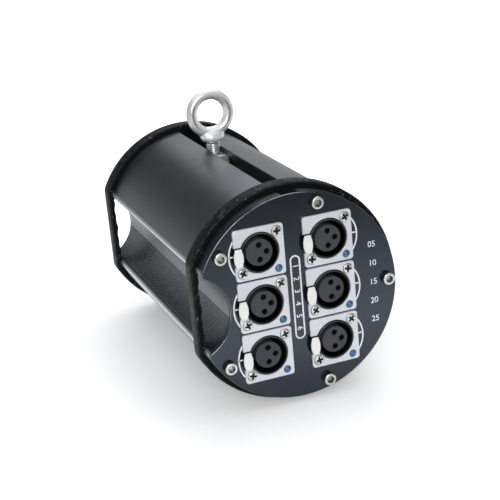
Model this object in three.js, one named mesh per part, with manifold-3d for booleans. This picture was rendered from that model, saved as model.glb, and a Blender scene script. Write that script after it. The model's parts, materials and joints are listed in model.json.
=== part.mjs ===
// A drum-shaped splitter for lighting control signals, lying on its side.
// Millimetres, +Z up, the drum's axis along Y and the sockets at the low end of Y.
// The origin is below the middle of the part, on the surface that it rests on.

import * as THREE from 'three';
import { mergeVertices } from 'three/addons/utils/BufferGeometryUtils.js';
import Module from 'manifold-3d';

const wasm = await Module();
wasm.setup();

// Drum
const drumLength = 177;
const drumWall = 2.5;
const fluteRadius = 21.7;
const lipRadius = 2.5;

// Slot along the top
const slotLip = 3.4;
const slotWall = 2.2;

// Screw ports, shared by both ends
const portInset = 4.9;
const portWall = 1.85;
const portAngles = [0, 75, 144, 216, 285];

// Card rails
const railRise = 19.6;
const railDepth = 3.5;
const railLip = 2.4;
const railRoot = 2.6;

// Panels
const panelThickness = 2;
const panelInset = 0.1;

// Bumpers
const bumperThickness = 3.4;
const bumperWidth = 9;
const bumperSetback = 6;
const bumperBarProud = 2.9;
const bumperBarThickness = 3.5;
const bumperCornerRadius = 8;
const bumperEdge = 1;
const bumperFootWidth = 12;
const handWindowInset = 2;

// Panel screws
const screwShankRadius = 1.75;
const screwLength = 12;
const screwHeadRadius = 3.15;
const screwHeadHeight = 2.8;
const screwHeadEdge = 0.5;
const screwSocketWidth = 2.9;
const screwSocketDepth = 1.6;

// Sockets
const flangeMargin = 2.8;
const flangeThickness = 1.5;
const flangeCorner = 1.6;
const shellRadius = 10.2;
const shellWall = 1.1;
const shellDepth = 24;
const shellFloor = 2;
const shellRimHeight = 0.5;
const insertGap = 2.25;
const insertRecess = 0.8;
const contactInset = 3.1;
const contactBore = 1.25;
const contactAngles = [90, 0, -90];
const pinRadius = 1.2;
const pinLength = 10;
const pinBaseThickness = 3;
const plugDepth = 14;

// Latches
const latchWidth = 5.4;
const latchHeight = 9.4;
const latchBulge = 0.8;
const latchThickness = 1.5;
const latchEdge = 0.35;
const latchOverhang = 0.7;
const latchDrop = 0.6;
const latchTravel = 1.5;
const latchStemThickness = 1.6;
const latchStemHeight = 5;
const latchStemLength = 9;

// Indicators
const ledRadius = 1.45;
const ledLength = 6;
const ledDome = 0.9;
const ledInsetX = 3.7;
const ledInsetZ = 3.1;

// Front layout
const outputMargin = 4;
const outputGapX = 10.2;
const outputGapZ = 1;
const outputShift = 1;
const outputRise = 0.8;
const outputEdge = 1.7;

// Rear layout
const rearSocketGap = 6;
const rearSocketShift = 1;
const rearSocketZ = 23;
const inletX = -9;
const inletZ = -14;
const fuseX = 22;
const fuseZ = -13;

// Mains inlet
const inletCavityWidth = 24;
const inletCavityHeight = 16.2;
const inletCavityDepth = 15;
const inletCavityCorner = 5.4;
const inletWall = 1.7;
const inletFloor = 3;
const inletRimWidth = 2.2;
const inletRimThickness = 2.2;
const inletCorner = 2;
const bladeWidth = 2;
const bladeHeight = 4;
const bladeLength = 10;
const bladeSpread = 7;
const bladeOffset = 2;

// Fuse holder
const fuseBoreRadius = 4.2;
const fuseBoreDepth = 20;
const fuseWall = 1.8;
const fuseFloor = 4;
const fuseRimWidth = 2;
const fuseRimThickness = 2;
const fuseCapRadius = 6;
const fuseCapHeight = 5.5;
const fuseCapEdge = 0.8;
const fuseStemGap = 1;
const fuseStemEnd = 5;
const fuseSlotWidth = 1.4;
const fuseSlotDepth = 1.2;

// Eye bolt and its nut
const eyePlace = 21.8;
const eyeRingRadius = 10.8;
const eyeRingThickness = 6;
const eyeSeat = 4.7;
const shankRadius = 4;
const shoulderGap = 3.9;
const shoulderRadius = 7.3;
const shoulderFootRadius = 6.2;
const shoulderTopRadius = 4.4;
const shoulderStep = 3;
const shoulderNeck = 7;
const nutWidth = 13;
const nutLength = 14;
const nutThickness = 5;

// Boards
const boardThickness = 1.6;
const outputBoardMargin = 3.6;
const outputBoardCorner = 6;
const mainBoardSetback = 32;
const moduleMargin = 3;
const moduleHeight = 24;
const moduleEdge = 1.5;
const moduleSetback = 34;

// Clearances, the overrun of cuts, and the distance at which two points are one
const seatGap = 0.2;
const fitGap = 0.3;
const nutGap = 0.8;
const overrun = 1;
const samePoint = 0.001;

// Facets
const drumFacets = 56;
const fluteFacets = 18;
const lipFacets = 4;
const cornerFacets = 3;
const boreFacets = 24;
const portFacets = 8;
const latchFacets = 5;
const screwFacets = 12;
const pinFacets = 8;
const eyeFacets = 28;
const stemFacets = 16;
const eyeSectionFacets = 10;

// Sockets, from the middle of each
const flangeSide = 2 * (shellRadius + flangeMargin);
const shellBore = shellRadius - shellWall;
const insertRadius = shellBore - insertGap;
const contactCircle = insertRadius - contactInset;

// Outline of the drum: it goes round the outputs' upper left corner, and the flute lies beside them
const outputReachX = flangeSide + outputGapX / 2 + outputShift;
const outputReachZ = (3 * flangeSide) / 2 + outputGapZ + outputRise;
const drumRadius = Math.hypot(outputReachX, outputReachZ) + outputEdge;
const fluteFloor = outputReachX + outputMargin;
const fluteDistance = fluteFloor + fluteRadius;

// The centre of the lip above the flute
const lipReach = drumRadius - lipRadius;
const lipX = ((fluteRadius + lipRadius) ** 2 - lipReach ** 2 - fluteDistance ** 2) / (2 * fluteDistance);
const lipZ = Math.sqrt(lipReach ** 2 - lipX ** 2);

// Places inside the drum
const portBore = screwShankRadius + fitGap;
const portRadius = portBore + portWall;
const slotWidth = 2 * (shankRadius + fitGap);
const slotCeiling = drumRadius - slotLip;
const chamberWidth = nutWidth + 2 * nutGap;
const chamberDepth = nutThickness + 2 * nutGap;
const chamberFloor = slotCeiling - chamberDepth;
const railDrop = drumRadius - railRise;
const grooveHeight = boardThickness + 2 * fitGap;
const grooveReach = Math.sqrt((drumRadius - drumWall) ** 2 - (railDrop + grooveHeight / 2) ** 2) - railRoot;
const railInside = grooveReach - railDepth;

// Bumpers
const bumperRadius = drumRadius + bumperThickness;
const bumperBarDistance = lipRadius - lipX + bumperBarProud;

// Latches, from the middle of a socket
const latchX = latchWidth / 2 - flangeSide / 2 - latchOverhang;
const latchStemX = -(shellRadius + fitGap + latchStemThickness / 2);
const latchStandoff = latchTravel + fitGap - flangeThickness;

// Places along the drum
const drumFront = -drumLength / 2;
const drumRear = drumLength / 2;
const panelFront = drumFront - seatGap - panelThickness;
const panelRear = drumRear + seatGap + panelThickness;
const flangeReach = seatGap + flangeThickness;
const outputBoardNear = panelFront - flangeReach + shellDepth + fitGap;
const mainBoardNear = outputBoardNear + boardThickness + fitGap;
const mainBoardFar = drumRear - mainBoardSetback;

// Places up the eye bolt
const shoulderFoot = drumRadius + shoulderGap;
const eyeHeight = shoulderFoot + eyeSeat + eyeRingRadius;

// Where the drum's axis lies when the part stands on its bumpers' feet
const frontReach = flangeReach + latchStandoff + latchThickness - panelFront;
const rearReach = panelRear + seatGap + fuseRimThickness + seatGap + fuseCapHeight;
const axisX = (bumperBarDistance - bumperRadius) / 2;
const axisY = (frontReach - rearReach) / 2;
const axisZ = Math.sqrt(bumperRadius ** 2 - (bumperFootWidth / 2) ** 2);

const degrees = THREE.MathUtils.degToRad;

// Points of an arc in the XZ plane, with both of its ends.
function arc(x, z, radius, from, to, facets) {
  return Array.from({ length: facets + 1 }, (_, i) => {
    const angle = from + ((to - from) * i) / facets;
    return new THREE.Vector2(x + radius * Math.cos(angle), z + radius * Math.sin(angle));
  });
}

// Runs of points joined into one outline, without the points that repeat the one before.
function outline(...runs) {
  const points = runs.flat();
  return points.filter((point, i) => point.distanceTo(points.at(i - 1)) > samePoint);
}

function circle(x, z, radius, facets) {
  return outline(arc(x, z, radius, 0, 2 * Math.PI, facets));
}

function rectangle(x, z, width, height) {
  const corners = [[-1, -1], [1, -1], [1, 1], [-1, 1]];
  return corners.map(([across, up]) => new THREE.Vector2(x + (across * width) / 2, z + (up * height) / 2));
}

function roundedBox(x, z, width, height, corner) {
  const right = width / 2 - corner;
  const top = height / 2 - corner;
  const centres = [[right, top], [-right, top], [-right, -top], [right, -top]];
  return outline(...centres.map(([cx, cz], quarter) => {
    const start = (quarter * Math.PI) / 2;
    return arc(x + cx, z + cz, corner, start, start + Math.PI / 2, cornerFacets);
  }));
}

// A closed solid from a geometry whose faces point out.
function solid(geometry) {
  geometry.deleteAttribute('normal');
  geometry.deleteAttribute('uv');
  const merged = mergeVertices(geometry);
  const vertProperties = merged.attributes.position.array;
  const triVerts = Uint32Array.from(merged.index.array);
  return new wasm.Manifold(new wasm.Mesh({ numProp: 3, vertProperties, triVerts }));
}

function surface(made) {
  const mesh = made.getMesh();
  const geometry = new THREE.BufferGeometry();
  geometry.setAttribute('position', new THREE.BufferAttribute(mesh.vertProperties, 3));
  geometry.setIndex(new THREE.BufferAttribute(mesh.triVerts, 1));
  geometry.computeVertexNormals();
  return geometry;
}

// An outline in the XZ plane, extruded along Y from near to far. A bevelled edge stays inside the outline.
function prism(points, near, far, { holes = [], bevel = 0, bevelSegments = 1 } = {}) {
  const shape = new THREE.Shape(points);
  shape.holes = holes.map((hole) => new THREE.Path(hole));
  const geometry = new THREE.ExtrudeGeometry(shape, {
    depth: far - near - 2 * bevel,
    bevelEnabled: bevel > 0,
    bevelThickness: bevel,
    bevelSize: bevel,
    bevelOffset: -bevel,
    bevelSegments,
  });
  geometry.rotateX(Math.PI / 2);
  geometry.translate(0, far - bevel, 0);
  return solid(geometry);
}

// Pairs of radius and height turned about Y. The outside runs towards high Y, and a bore runs back.
function turned(profile, facets) {
  return solid(new THREE.LatheGeometry(profile.map(([radius, y]) => new THREE.Vector2(radius, y)), facets));
}

function rod(x, z, radius, near, far, facets) {
  return prism(circle(x, z, radius, facets), near, far);
}

function block(x, y, z, width, depth, height) {
  const geometry = new THREE.BoxGeometry(width, depth, height);
  geometry.translate(x, y, z);
  return solid(geometry);
}

// The drum's outline, moved outwards by margin: the round, the lower lip, the flute and the upper lip.
function drumOutline(margin) {
  const outer = Math.atan2(lipZ, lipX);
  const inner = Math.atan2(lipZ, lipX + fluteDistance);
  return outline(
    arc(0, 0, drumRadius + margin, outer, -outer, drumFacets),
    arc(lipX, -lipZ, lipRadius + margin, -outer, -Math.PI - inner, lipFacets),
    arc(-fluteDistance, 0, fluteRadius - margin, -inner, inner, fluteFacets),
    arc(lipX, lipZ, lipRadius + margin, Math.PI + inner, outer, lipFacets),
  );
}

function portPlaces() {
  return portAngles.map((angle) => {
    const turn = degrees(angle);
    const out = new THREE.Vector2(Math.cos(turn), Math.sin(turn));
    return { turn, out, centre: out.clone().multiplyScalar(drumRadius - portInset) };
  });
}

const finishes = {
  anodised: { color: 0x17191d, roughness: 0.38, metalness: 0.75 },
  panel: { color: 0x1c1f26, roughness: 0.42, metalness: 0.5 },
  rubber: { color: 0x0c0c0d, roughness: 0.8, metalness: 0 },
  steel: { color: 0xc9ccd0, roughness: 0.25, metalness: 1 },
  plate: { color: 0xd6d8e0, roughness: 0.4, metalness: 0.6 },
  latch: { color: 0xf0f0ec, roughness: 0.35, metalness: 0.3 },
  moulding: { color: 0x0a0a0c, roughness: 0.45, metalness: 0 },
  insulator: { color: 0x3a3c40, roughness: 0.55, metalness: 0 },
  lens: { color: 0x3b6fb5, roughness: 0.15, metalness: 0 },
  board: { color: 0x14532d, roughness: 0.5, metalness: 0 },
  can: { color: 0xb4b8bd, roughness: 0.4, metalness: 0.9 },
};

function piece(name, made, finish) {
  const mesh = new THREE.Mesh(surface(made), new THREE.MeshStandardMaterial(finishes[finish]));
  mesh.name = name;
  return mesh;
}

// A screw port's boss, round on the inside and running out into the drum's wall.
function portBoss({ turn, out, centre }) {
  const across = new THREE.Vector2(-out.y, out.x).multiplyScalar(portRadius);
  const root = out.clone().multiplyScalar(drumRadius);
  const quarter = Math.PI / 2;
  const inside = arc(centre.x, centre.y, portRadius, turn + quarter, turn + 3 * quarter, portFacets);
  return prism([...inside, root.clone().sub(across), root.clone().add(across)], drumFront, drumRear);
}

// The extruded drum: a round tube with a flute, a slot for a nut, five screw ports and two card rails.
function housingExtrusion() {
  const cut = [drumFront - overrun, drumRear + overrun];
  const outer = prism(drumOutline(0), drumFront, drumRear);
  const fluteWall = rod(-fluteDistance, 0, fluteRadius + drumWall, drumFront, drumRear, drumFacets);
  const bore = rod(0, 0, drumRadius - drumWall, ...cut, drumFacets);

  const trunkBottom = chamberFloor - slotWall;
  const trunkHeight = drumRadius - trunkBottom;
  const trunkWidth = chamberWidth + 2 * slotWall;
  let ribs = fluteWall.add(block(0, 0, trunkBottom + trunkHeight / 2, trunkWidth, drumLength, trunkHeight));
  portPlaces().forEach((place) => {
    ribs = ribs.add(portBoss(place));
  });
  const railWidth = drumRadius - railInside;
  const railX = railInside + railWidth / 2;
  const railHeight = grooveHeight + 2 * railLip;
  [-railX, railX].forEach((x) => {
    ribs = ribs.add(block(x, 0, -railDrop, railWidth, drumLength, railHeight));
  });

  let made = outer.subtract(bore).add(ribs.intersect(outer));
  const cutLength = drumLength + 2 * overrun;
  const neckHeight = slotLip + 2 * overrun;
  made = made.subtract(block(0, 0, slotCeiling - overrun + neckHeight / 2, slotWidth, cutLength, neckHeight));
  made = made.subtract(block(0, 0, slotCeiling - chamberDepth / 2, chamberWidth, cutLength, chamberDepth));
  made = made.subtract(block(0, 0, -railDrop, 2 * grooveReach, cutLength, grooveHeight));
  portPlaces().forEach(({ centre }) => {
    made = made.subtract(rod(centre.x, centre.y, portBore, ...cut, pinFacets));
  });
  return made;
}

const socketKinds = {
  output: { latch: true, led: true, pins: false },
  link: { latch: true, led: false, pins: false },
  input: { latch: false, led: false, pins: true },
};

// The places of the six outputs, in rows from the top left.
function outputPlaces() {
  const across = (flangeSide + outputGapX) / 2;
  const down = flangeSide + outputGapZ;
  return [1, 0, -1].flatMap((row) => [-1, 1].map((column) => ({
    x: column * across - outputShift,
    z: outputRise + row * down,
  })));
}

// The places of the input and the link on the rear, seen from the front.
function rearPlaces() {
  const across = (flangeSide + rearSocketGap) / 2;
  return {
    input: { x: rearSocketShift - across, z: rearSocketZ },
    link: { x: rearSocketShift + across, z: rearSocketZ },
  };
}

function ledPlace() {
  return { x: flangeSide / 2 - ledInsetX, z: ledInsetZ - flangeSide / 2 };
}

// A latch button's outline, with bowed sides, moved outwards by margin.
function latchOutline(margin) {
  const halfHeight = latchHeight / 2 + margin;
  const halfWidth = latchWidth / 2 + margin;
  const radius = (halfHeight ** 2 + latchBulge ** 2) / (2 * latchBulge);
  const sweep = Math.asin(halfHeight / radius);
  const shift = radius - halfWidth;
  return outline(
    arc(latchX - shift, -latchDrop, radius, -sweep, sweep, latchFacets),
    arc(latchX + shift, -latchDrop, radius, Math.PI - sweep, Math.PI + sweep, latchFacets),
  );
}

// What a socket cuts out of its panel. side is 1 on the front and -1 on the rear, where it is turned round.
function socketCutter({ x, z }, kind, side, near, far) {
  let cutter = rod(x, z, shellRadius + fitGap, near, far, boreFacets);
  if (kind.latch) {
    const width = latchStemThickness + 2 * fitGap;
    const height = latchStemHeight + 2 * fitGap;
    cutter = cutter.add(prism(rectangle(x + side * latchStemX, z - latchDrop, width, height), near, far));
  }
  if (kind.led) {
    const led = ledPlace();
    cutter = cutter.add(rod(x + side * led.x, z + led.z, ledRadius + fitGap, near, far, pinFacets));
  }
  return cutter;
}

function panelBlank(near, far) {
  const holes = portPlaces().map(({ centre }) => circle(centre.x, centre.y, portBore, pinFacets));
  return prism(drumOutline(-panelInset), near, far, { holes });
}

function frontPanel() {
  const near = panelFront;
  const far = panelFront + panelThickness;
  return outputPlaces().reduce(
    (made, place) => made.subtract(socketCutter(place, socketKinds.output, 1, near - overrun, far + overrun)),
    panelBlank(near, far),
  );
}

function rearPanel() {
  const cut = [panelRear - panelThickness - overrun, panelRear + overrun];
  const places = rearPlaces();
  const width = inletCavityWidth + 2 * inletWall + 2 * fitGap;
  const height = inletCavityHeight + 2 * inletWall + 2 * fitGap;
  const fuseBody = fuseBoreRadius + fuseWall;
  return panelBlank(panelRear - panelThickness, panelRear)
    .subtract(socketCutter(places.input, socketKinds.input, -1, ...cut))
    .subtract(socketCutter(places.link, socketKinds.link, -1, ...cut))
    .subtract(prism(roundedBox(inletX, inletZ, width, height, inletCorner), ...cut))
    .subtract(rod(fuseX, fuseZ, fuseBody + fitGap, ...cut, boreFacets));
}

// A rubber ring round the drum, with a flat foot below and a straight bar where it spans the flute.
function bumper(near) {
  const far = near + bumperWidth;
  const cut = [near - overrun, far + overrun];
  const cornerX = bumperCornerRadius - bumperBarDistance;
  const cornerZ = Math.sqrt((bumperRadius - bumperCornerRadius) ** 2 - cornerX ** 2);
  const turn = Math.atan2(cornerZ, cornerX);
  const foot = Math.asin(bumperFootWidth / 2 / bumperRadius);
  const down = -Math.PI / 2;
  const ring = outline(
    arc(0, 0, bumperRadius, turn, down + foot, (3 * drumFacets) / 4),
    arc(0, 0, bumperRadius, down - foot, -turn, drumFacets / 4),
    arc(cornerX, -cornerZ, bumperCornerRadius, -turn, -Math.PI, cornerFacets),
    arc(cornerX, cornerZ, bumperCornerRadius, Math.PI, turn, cornerFacets),
  );
  const windowWidth = bumperBarDistance - bumperBarThickness - fluteFloor;
  const windowX = -fluteFloor - windowWidth / 2;
  const window = rectangle(windowX, 0, windowWidth, 2 * (lipZ - handWindowInset));
  return prism(ring, near, far, { bevel: bumperEdge, bevelSegments: 2 })
    .subtract(prism(drumOutline(fitGap), ...cut))
    .subtract(prism(window, ...cut));
}

// A socket-head screw along Y, seated at y 0 with its head towards low Y.
function panelScrew() {
  const acrossCorners = screwSocketWidth / Math.cos(Math.PI / 6);
  const hexagon = circle(0, 0, acrossCorners / 2, 6);
  return turned([
    [0, -screwHeadHeight],
    [screwHeadRadius - screwHeadEdge, -screwHeadHeight],
    [screwHeadRadius, screwHeadEdge - screwHeadHeight],
    [screwHeadRadius, 0],
    [screwShankRadius, 0],
    [screwShankRadius, screwLength],
    [0, screwLength],
  ], screwFacets).subtract(prism(hexagon, -screwHeadHeight - overrun, screwSocketDepth - screwHeadHeight));
}

// The parts of a socket stand round its own axis, the flange's front at y 0 and the panel beyond it.
function socketFlange(kind) {
  const cut = [-overrun, flangeThickness + overrun];
  let made = prism(roundedBox(0, 0, flangeSide, flangeSide, flangeCorner), 0, flangeThickness);
  made = made.subtract(rod(0, 0, shellRadius + fitGap, ...cut, boreFacets));
  if (kind.latch) {
    made = made.subtract(prism(latchOutline(fitGap), ...cut));
  }
  if (kind.led) {
    const led = ledPlace();
    made = made.subtract(rod(led.x, led.z, ledRadius + fitGap, ...cut, pinFacets));
  }
  return made;
}

function socketShell(kind) {
  const floor = kind.pins ? plugDepth : shellDepth - shellFloor;
  const made = turned([
    [0, floor],
    [shellBore, floor],
    [shellBore, 0],
    [(shellRadius + shellBore) / 2, -shellRimHeight],
    [shellRadius, 0],
    [shellRadius, shellDepth],
    [0, shellDepth],
  ], boreFacets);
  if (!kind.latch) {
    return made;
  }
  return made.subtract(prism(latchOutline(fitGap), -overrun - shellRimHeight, flangeThickness + fitGap));
}

function contactPlaces() {
  return contactAngles.map((angle) => {
    const turn = degrees(angle);
    return new THREE.Vector2(contactCircle * Math.cos(turn), contactCircle * Math.sin(turn));
  });
}

function socketInsert() {
  const holes = contactPlaces().map(({ x, y }) => circle(x, y, contactBore, pinFacets));
  const face = circle(0, 0, insertRadius, boreFacets);
  return prism(face, insertRecess, shellDepth - shellFloor - fitGap, { holes });
}

function plugPins() {
  const far = plugDepth - fitGap;
  const face = far - pinBaseThickness;
  const root = far - pinBaseThickness / 2;
  return contactPlaces().reduce(
    (made, { x, y }) => made.add(rod(x, y, pinRadius, face - pinLength, root, pinFacets)),
    rod(0, 0, shellBore - fitGap, face, far, boreFacets),
  );
}

function socketLatch() {
  const far = -latchStandoff;
  const stem = rectangle(latchStemX, -latchDrop, latchStemThickness, latchStemHeight);
  return prism(latchOutline(0), far - latchThickness, far, { bevel: latchEdge })
    .add(prism(stem, far - latchThickness / 2, far + latchStemLength));
}

function indicator() {
  const slant = Math.PI / 4;
  return turned([
    [0, -ledDome],
    [ledRadius * Math.sin(slant), -ledDome * Math.cos(slant)],
    [ledRadius, 0],
    [ledRadius, ledLength],
    [0, ledLength],
  ], pinFacets);
}

function socketGroup(prefix, { x, z }, kind, side) {
  const group = new THREE.Group();
  group.add(piece(`${prefix}_flange`, socketFlange(kind), 'plate'));
  group.add(piece(`${prefix}_shell`, socketShell(kind), 'moulding'));
  if (kind.pins) {
    group.add(piece(`${prefix}_pins`, plugPins(), 'insulator'));
  } else {
    group.add(piece(`${prefix}_insert`, socketInsert(), 'insulator'));
  }
  if (kind.latch) {
    group.add(piece(`${prefix}_latch`, socketLatch(), 'latch'));
  }
  if (kind.led) {
    const led = piece(`${prefix}_led`, indicator(), 'lens');
    led.position.set(ledPlace().x, 0, ledPlace().z);
    group.add(led);
  }
  group.position.set(x, side > 0 ? panelFront - flangeReach : panelRear + flangeReach, z);
  group.rotation.z = side > 0 ? 0 : Math.PI;
  return group;
}

// The mains inlet round its own axis, its rim seated at y 0 and its cavity open towards high Y.
function powerInlet() {
  const bodyWidth = inletCavityWidth + 2 * inletWall;
  const bodyHeight = inletCavityHeight + 2 * inletWall;
  const rim = roundedBox(0, 0, bodyWidth + 2 * inletRimWidth, bodyHeight + 2 * inletRimWidth, inletCorner);
  const body = roundedBox(0, 0, bodyWidth, bodyHeight, inletCorner);
  const floor = inletRimThickness - inletCavityDepth;
  const right = inletCavityWidth / 2;
  const top = inletCavityHeight / 2;
  const cavity = [
    [-right, -top],
    [right, -top],
    [right, top - inletCavityCorner],
    [right - inletCavityCorner, top],
    [inletCavityCorner - right, top],
    [-right, top - inletCavityCorner],
  ].map(([x, z]) => new THREE.Vector2(x, z));
  const shroud = prism(rim, 0, inletRimThickness)
    .add(prism(body, floor - inletFloor, inletRimThickness / 2))
    .subtract(prism(cavity, floor, inletRimThickness + overrun));
  const root = floor - inletFloor / 2;
  return [[-bladeSpread, -bladeOffset], [0, bladeOffset], [bladeSpread, -bladeOffset]].reduce(
    (made, [x, z]) => made.add(prism(rectangle(x, z, bladeWidth, bladeHeight), root, floor + bladeLength)),
    shroud,
  );
}

// The fuse holder round its own axis, its rim seated at y 0 and its bore open towards high Y.
function fuseHolder() {
  const bodyRadius = fuseBoreRadius + fuseWall;
  const rimRadius = bodyRadius + fuseRimWidth;
  const floor = fuseRimThickness - fuseBoreDepth;
  return turned([
    [0, floor - fuseFloor],
    [bodyRadius, floor - fuseFloor],
    [bodyRadius, 0],
    [rimRadius, 0],
    [rimRadius, fuseRimThickness],
    [fuseBoreRadius, fuseRimThickness],
    [fuseBoreRadius, floor],
    [0, floor],
  ], boreFacets);
}

// The fuse cap round its own axis, its underside at y 0 and its slotted face towards high Y.
function fuseCap() {
  const stemRadius = fuseBoreRadius - fuseStemGap;
  const stemLength = fuseBoreDepth - fuseStemEnd;
  const slot = rectangle(0, 0, 2 * (fuseCapRadius - fuseCapEdge), fuseSlotWidth);
  return turned([
    [0, -stemLength],
    [stemRadius, -stemLength],
    [stemRadius, 0],
    [fuseCapRadius, 0],
    [fuseCapRadius, fuseCapHeight - fuseCapEdge],
    [fuseCapRadius - fuseCapEdge, fuseCapHeight],
    [0, fuseCapHeight],
  ], boreFacets).subtract(prism(slot, fuseCapHeight - fuseSlotDepth, fuseCapHeight + overrun));
}

// The nut in the slot's chamber, bored for the eye bolt.
function slotNut() {
  const middle = slotCeiling - fitGap - nutThickness / 2;
  const reach = shankRadius + fitGap;
  const bore = new THREE.CylinderGeometry(reach, reach, nutThickness + 2 * overrun, stemFacets);
  bore.rotateX(Math.PI / 2);
  bore.translate(0, 0, middle);
  return block(0, 0, middle, nutWidth, nutLength, nutThickness).subtract(solid(bore));
}

// A forged ring that runs down into a flared shoulder and a shank.
function eyeBolt() {
  const ring = new THREE.TorusGeometry(eyeRingRadius, eyeRingThickness / 2, eyeSectionFacets, eyeFacets);
  ring.rotateX(Math.PI / 2);
  ring.translate(0, 0, eyeHeight);
  const foot = chamberFloor + fitGap;
  const stem = new THREE.LatheGeometry([
    [0, foot],
    [shankRadius, foot],
    [shankRadius, shoulderFoot],
    [shoulderFootRadius, shoulderFoot],
    [shoulderRadius, shoulderFoot + shoulderStep],
    [shoulderTopRadius, shoulderFoot + shoulderNeck],
    [0, shoulderFoot + shoulderNeck],
  ].map(([radius, height]) => new THREE.Vector2(radius, height)), stemFacets);
  stem.rotateX(Math.PI / 2);
  return solid(ring).add(solid(stem));
}

function outputBoard() {
  const width = 2 * (fluteFloor - drumWall - outputBoardMargin);
  const height = 2 * (chamberFloor - slotWall - outputBoardMargin);
  const board = roundedBox(0, 0, width, height, outputBoardCorner);
  return prism(board, outputBoardNear, outputBoardNear + boardThickness);
}

function mainBoard() {
  const length = mainBoardFar - mainBoardNear;
  return block(0, mainBoardNear + length / 2, -railDrop, 2 * (grooveReach - fitGap), length, boardThickness);
}

function powerModule() {
  const middle = boardThickness / 2 + seatGap + moduleHeight / 2 - railDrop;
  const can = roundedBox(0, middle, 2 * (railInside - moduleMargin), moduleHeight, moduleEdge);
  return prism(can, mainBoardNear + moduleSetback, mainBoardFar - moduleMargin);
}

// Everything is built round the drum's axis and then stood on its feet.
const splitter = new THREE.Group();
splitter.position.set(axisX, axisY, axisZ);

splitter.add(piece('housing_extrusion', housingExtrusion(), 'anodised'));
splitter.add(piece('front_panel', frontPanel(), 'panel'));
splitter.add(piece('rear_panel', rearPanel(), 'panel'));
splitter.add(piece('front_bumper', bumper(drumFront + bumperSetback), 'rubber'));
splitter.add(piece('rear_bumper', bumper(drumRear - bumperSetback - bumperWidth), 'rubber'));

portPlaces().forEach(({ centre }, i) => {
  const front = piece(`front_panel_screw_${i + 1}`, panelScrew(), 'steel');
  front.position.set(centre.x, panelFront - seatGap, centre.y);
  const rear = piece(`rear_panel_screw_${i + 1}`, panelScrew(), 'steel');
  rear.position.set(centre.x, panelRear + seatGap, centre.y);
  rear.rotation.z = Math.PI;
  splitter.add(front, rear);
});

outputPlaces().forEach((place, i) => {
  splitter.add(socketGroup(`output_${i + 1}`, place, socketKinds.output, 1));
});
splitter.add(socketGroup('input', rearPlaces().input, socketKinds.input, -1));
splitter.add(socketGroup('link', rearPlaces().link, socketKinds.link, -1));

const inlet = piece('power_inlet', powerInlet(), 'moulding');
inlet.position.set(inletX, panelRear + seatGap, inletZ);
const holder = piece('fuse_holder', fuseHolder(), 'moulding');
holder.position.set(fuseX, panelRear + seatGap, fuseZ);
const cap = piece('fuse_cap', fuseCap(), 'moulding');
cap.position.set(fuseX, panelRear + seatGap + fuseRimThickness + seatGap, fuseZ);
splitter.add(inlet, holder, cap);

const nut = piece('slot_nut', slotNut(), 'steel');
const eye = piece('eye_bolt', eyeBolt(), 'steel');
nut.position.y = eyePlace;
eye.position.y = eyePlace;
splitter.add(nut, eye);

splitter.add(piece('output_board', outputBoard(), 'board'));
splitter.add(piece('main_board', mainBoard(), 'board'));
splitter.add(piece('power_module', powerModule(), 'can'));

export default splitter;
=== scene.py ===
"""Dresses the drum-shaped signal splitter and sets it on a pale floor in soft light.

Lengths inside the classes are millimetres from the middle of the drum's axis. They become metres in the CAD
frame when a mesh is finished.
"""

import json
import logging
import math
from dataclasses import dataclass, field, replace
from enum import Enum
from typing import Callable, Iterable, Optional, Sequence, Union

import bmesh
import bpy
from mathutils import Matrix, Vector
from mathutils.geometry import tessellate_polygon

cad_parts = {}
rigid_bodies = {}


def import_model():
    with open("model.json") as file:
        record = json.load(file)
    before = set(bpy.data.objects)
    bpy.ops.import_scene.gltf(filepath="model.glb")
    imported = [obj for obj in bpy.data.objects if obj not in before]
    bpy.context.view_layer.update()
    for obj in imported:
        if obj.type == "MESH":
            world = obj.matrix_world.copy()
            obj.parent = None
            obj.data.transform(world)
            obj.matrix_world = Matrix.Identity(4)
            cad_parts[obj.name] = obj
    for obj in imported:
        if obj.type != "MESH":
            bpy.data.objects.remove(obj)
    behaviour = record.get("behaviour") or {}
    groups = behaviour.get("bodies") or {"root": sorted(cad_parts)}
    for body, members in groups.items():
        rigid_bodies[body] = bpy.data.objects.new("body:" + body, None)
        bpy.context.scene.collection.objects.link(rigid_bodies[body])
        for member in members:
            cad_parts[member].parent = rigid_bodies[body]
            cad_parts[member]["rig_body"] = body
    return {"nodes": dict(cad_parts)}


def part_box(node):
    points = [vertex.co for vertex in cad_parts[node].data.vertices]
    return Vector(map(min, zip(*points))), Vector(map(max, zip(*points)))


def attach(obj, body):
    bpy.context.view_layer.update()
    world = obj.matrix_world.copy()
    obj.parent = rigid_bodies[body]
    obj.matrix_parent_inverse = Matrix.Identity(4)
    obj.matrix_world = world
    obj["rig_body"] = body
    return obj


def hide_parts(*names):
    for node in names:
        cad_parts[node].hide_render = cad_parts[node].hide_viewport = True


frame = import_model()

logging.basicConfig(level=logging.INFO, format="%(message)s")
log = logging.getLogger("splitter")

MM = 0.001
MERGE = 1e-4
TINY = 1e-6
TURN = 2 * math.pi
QUARTER = math.pi / 2
EDGE = "edge"
RECESS = "recess"
Point = tuple[float, float]
Place = tuple[float, float, float]
Colour = tuple[float, float, float]
Outline = Sequence[Point]
Reach = Callable[[float], float]
WearAndLightAmount = Callable[[Vector, Vector], float]
Node = bpy.types.Node
Socket = bpy.types.NodeSocket
Value = Union[float, Socket]


class Body(Enum):
    """The rigid bodies that pieces ride on, apart from the sockets' latches."""

    BASE = "base"
    NUT = "nut"
    EYE = "eye"
    FUSE_CAP = "fuse_cap"


class Axis(Enum):
    """The axis that a turned piece is turned about."""

    ALONG = "y"
    UP = "z"


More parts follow.
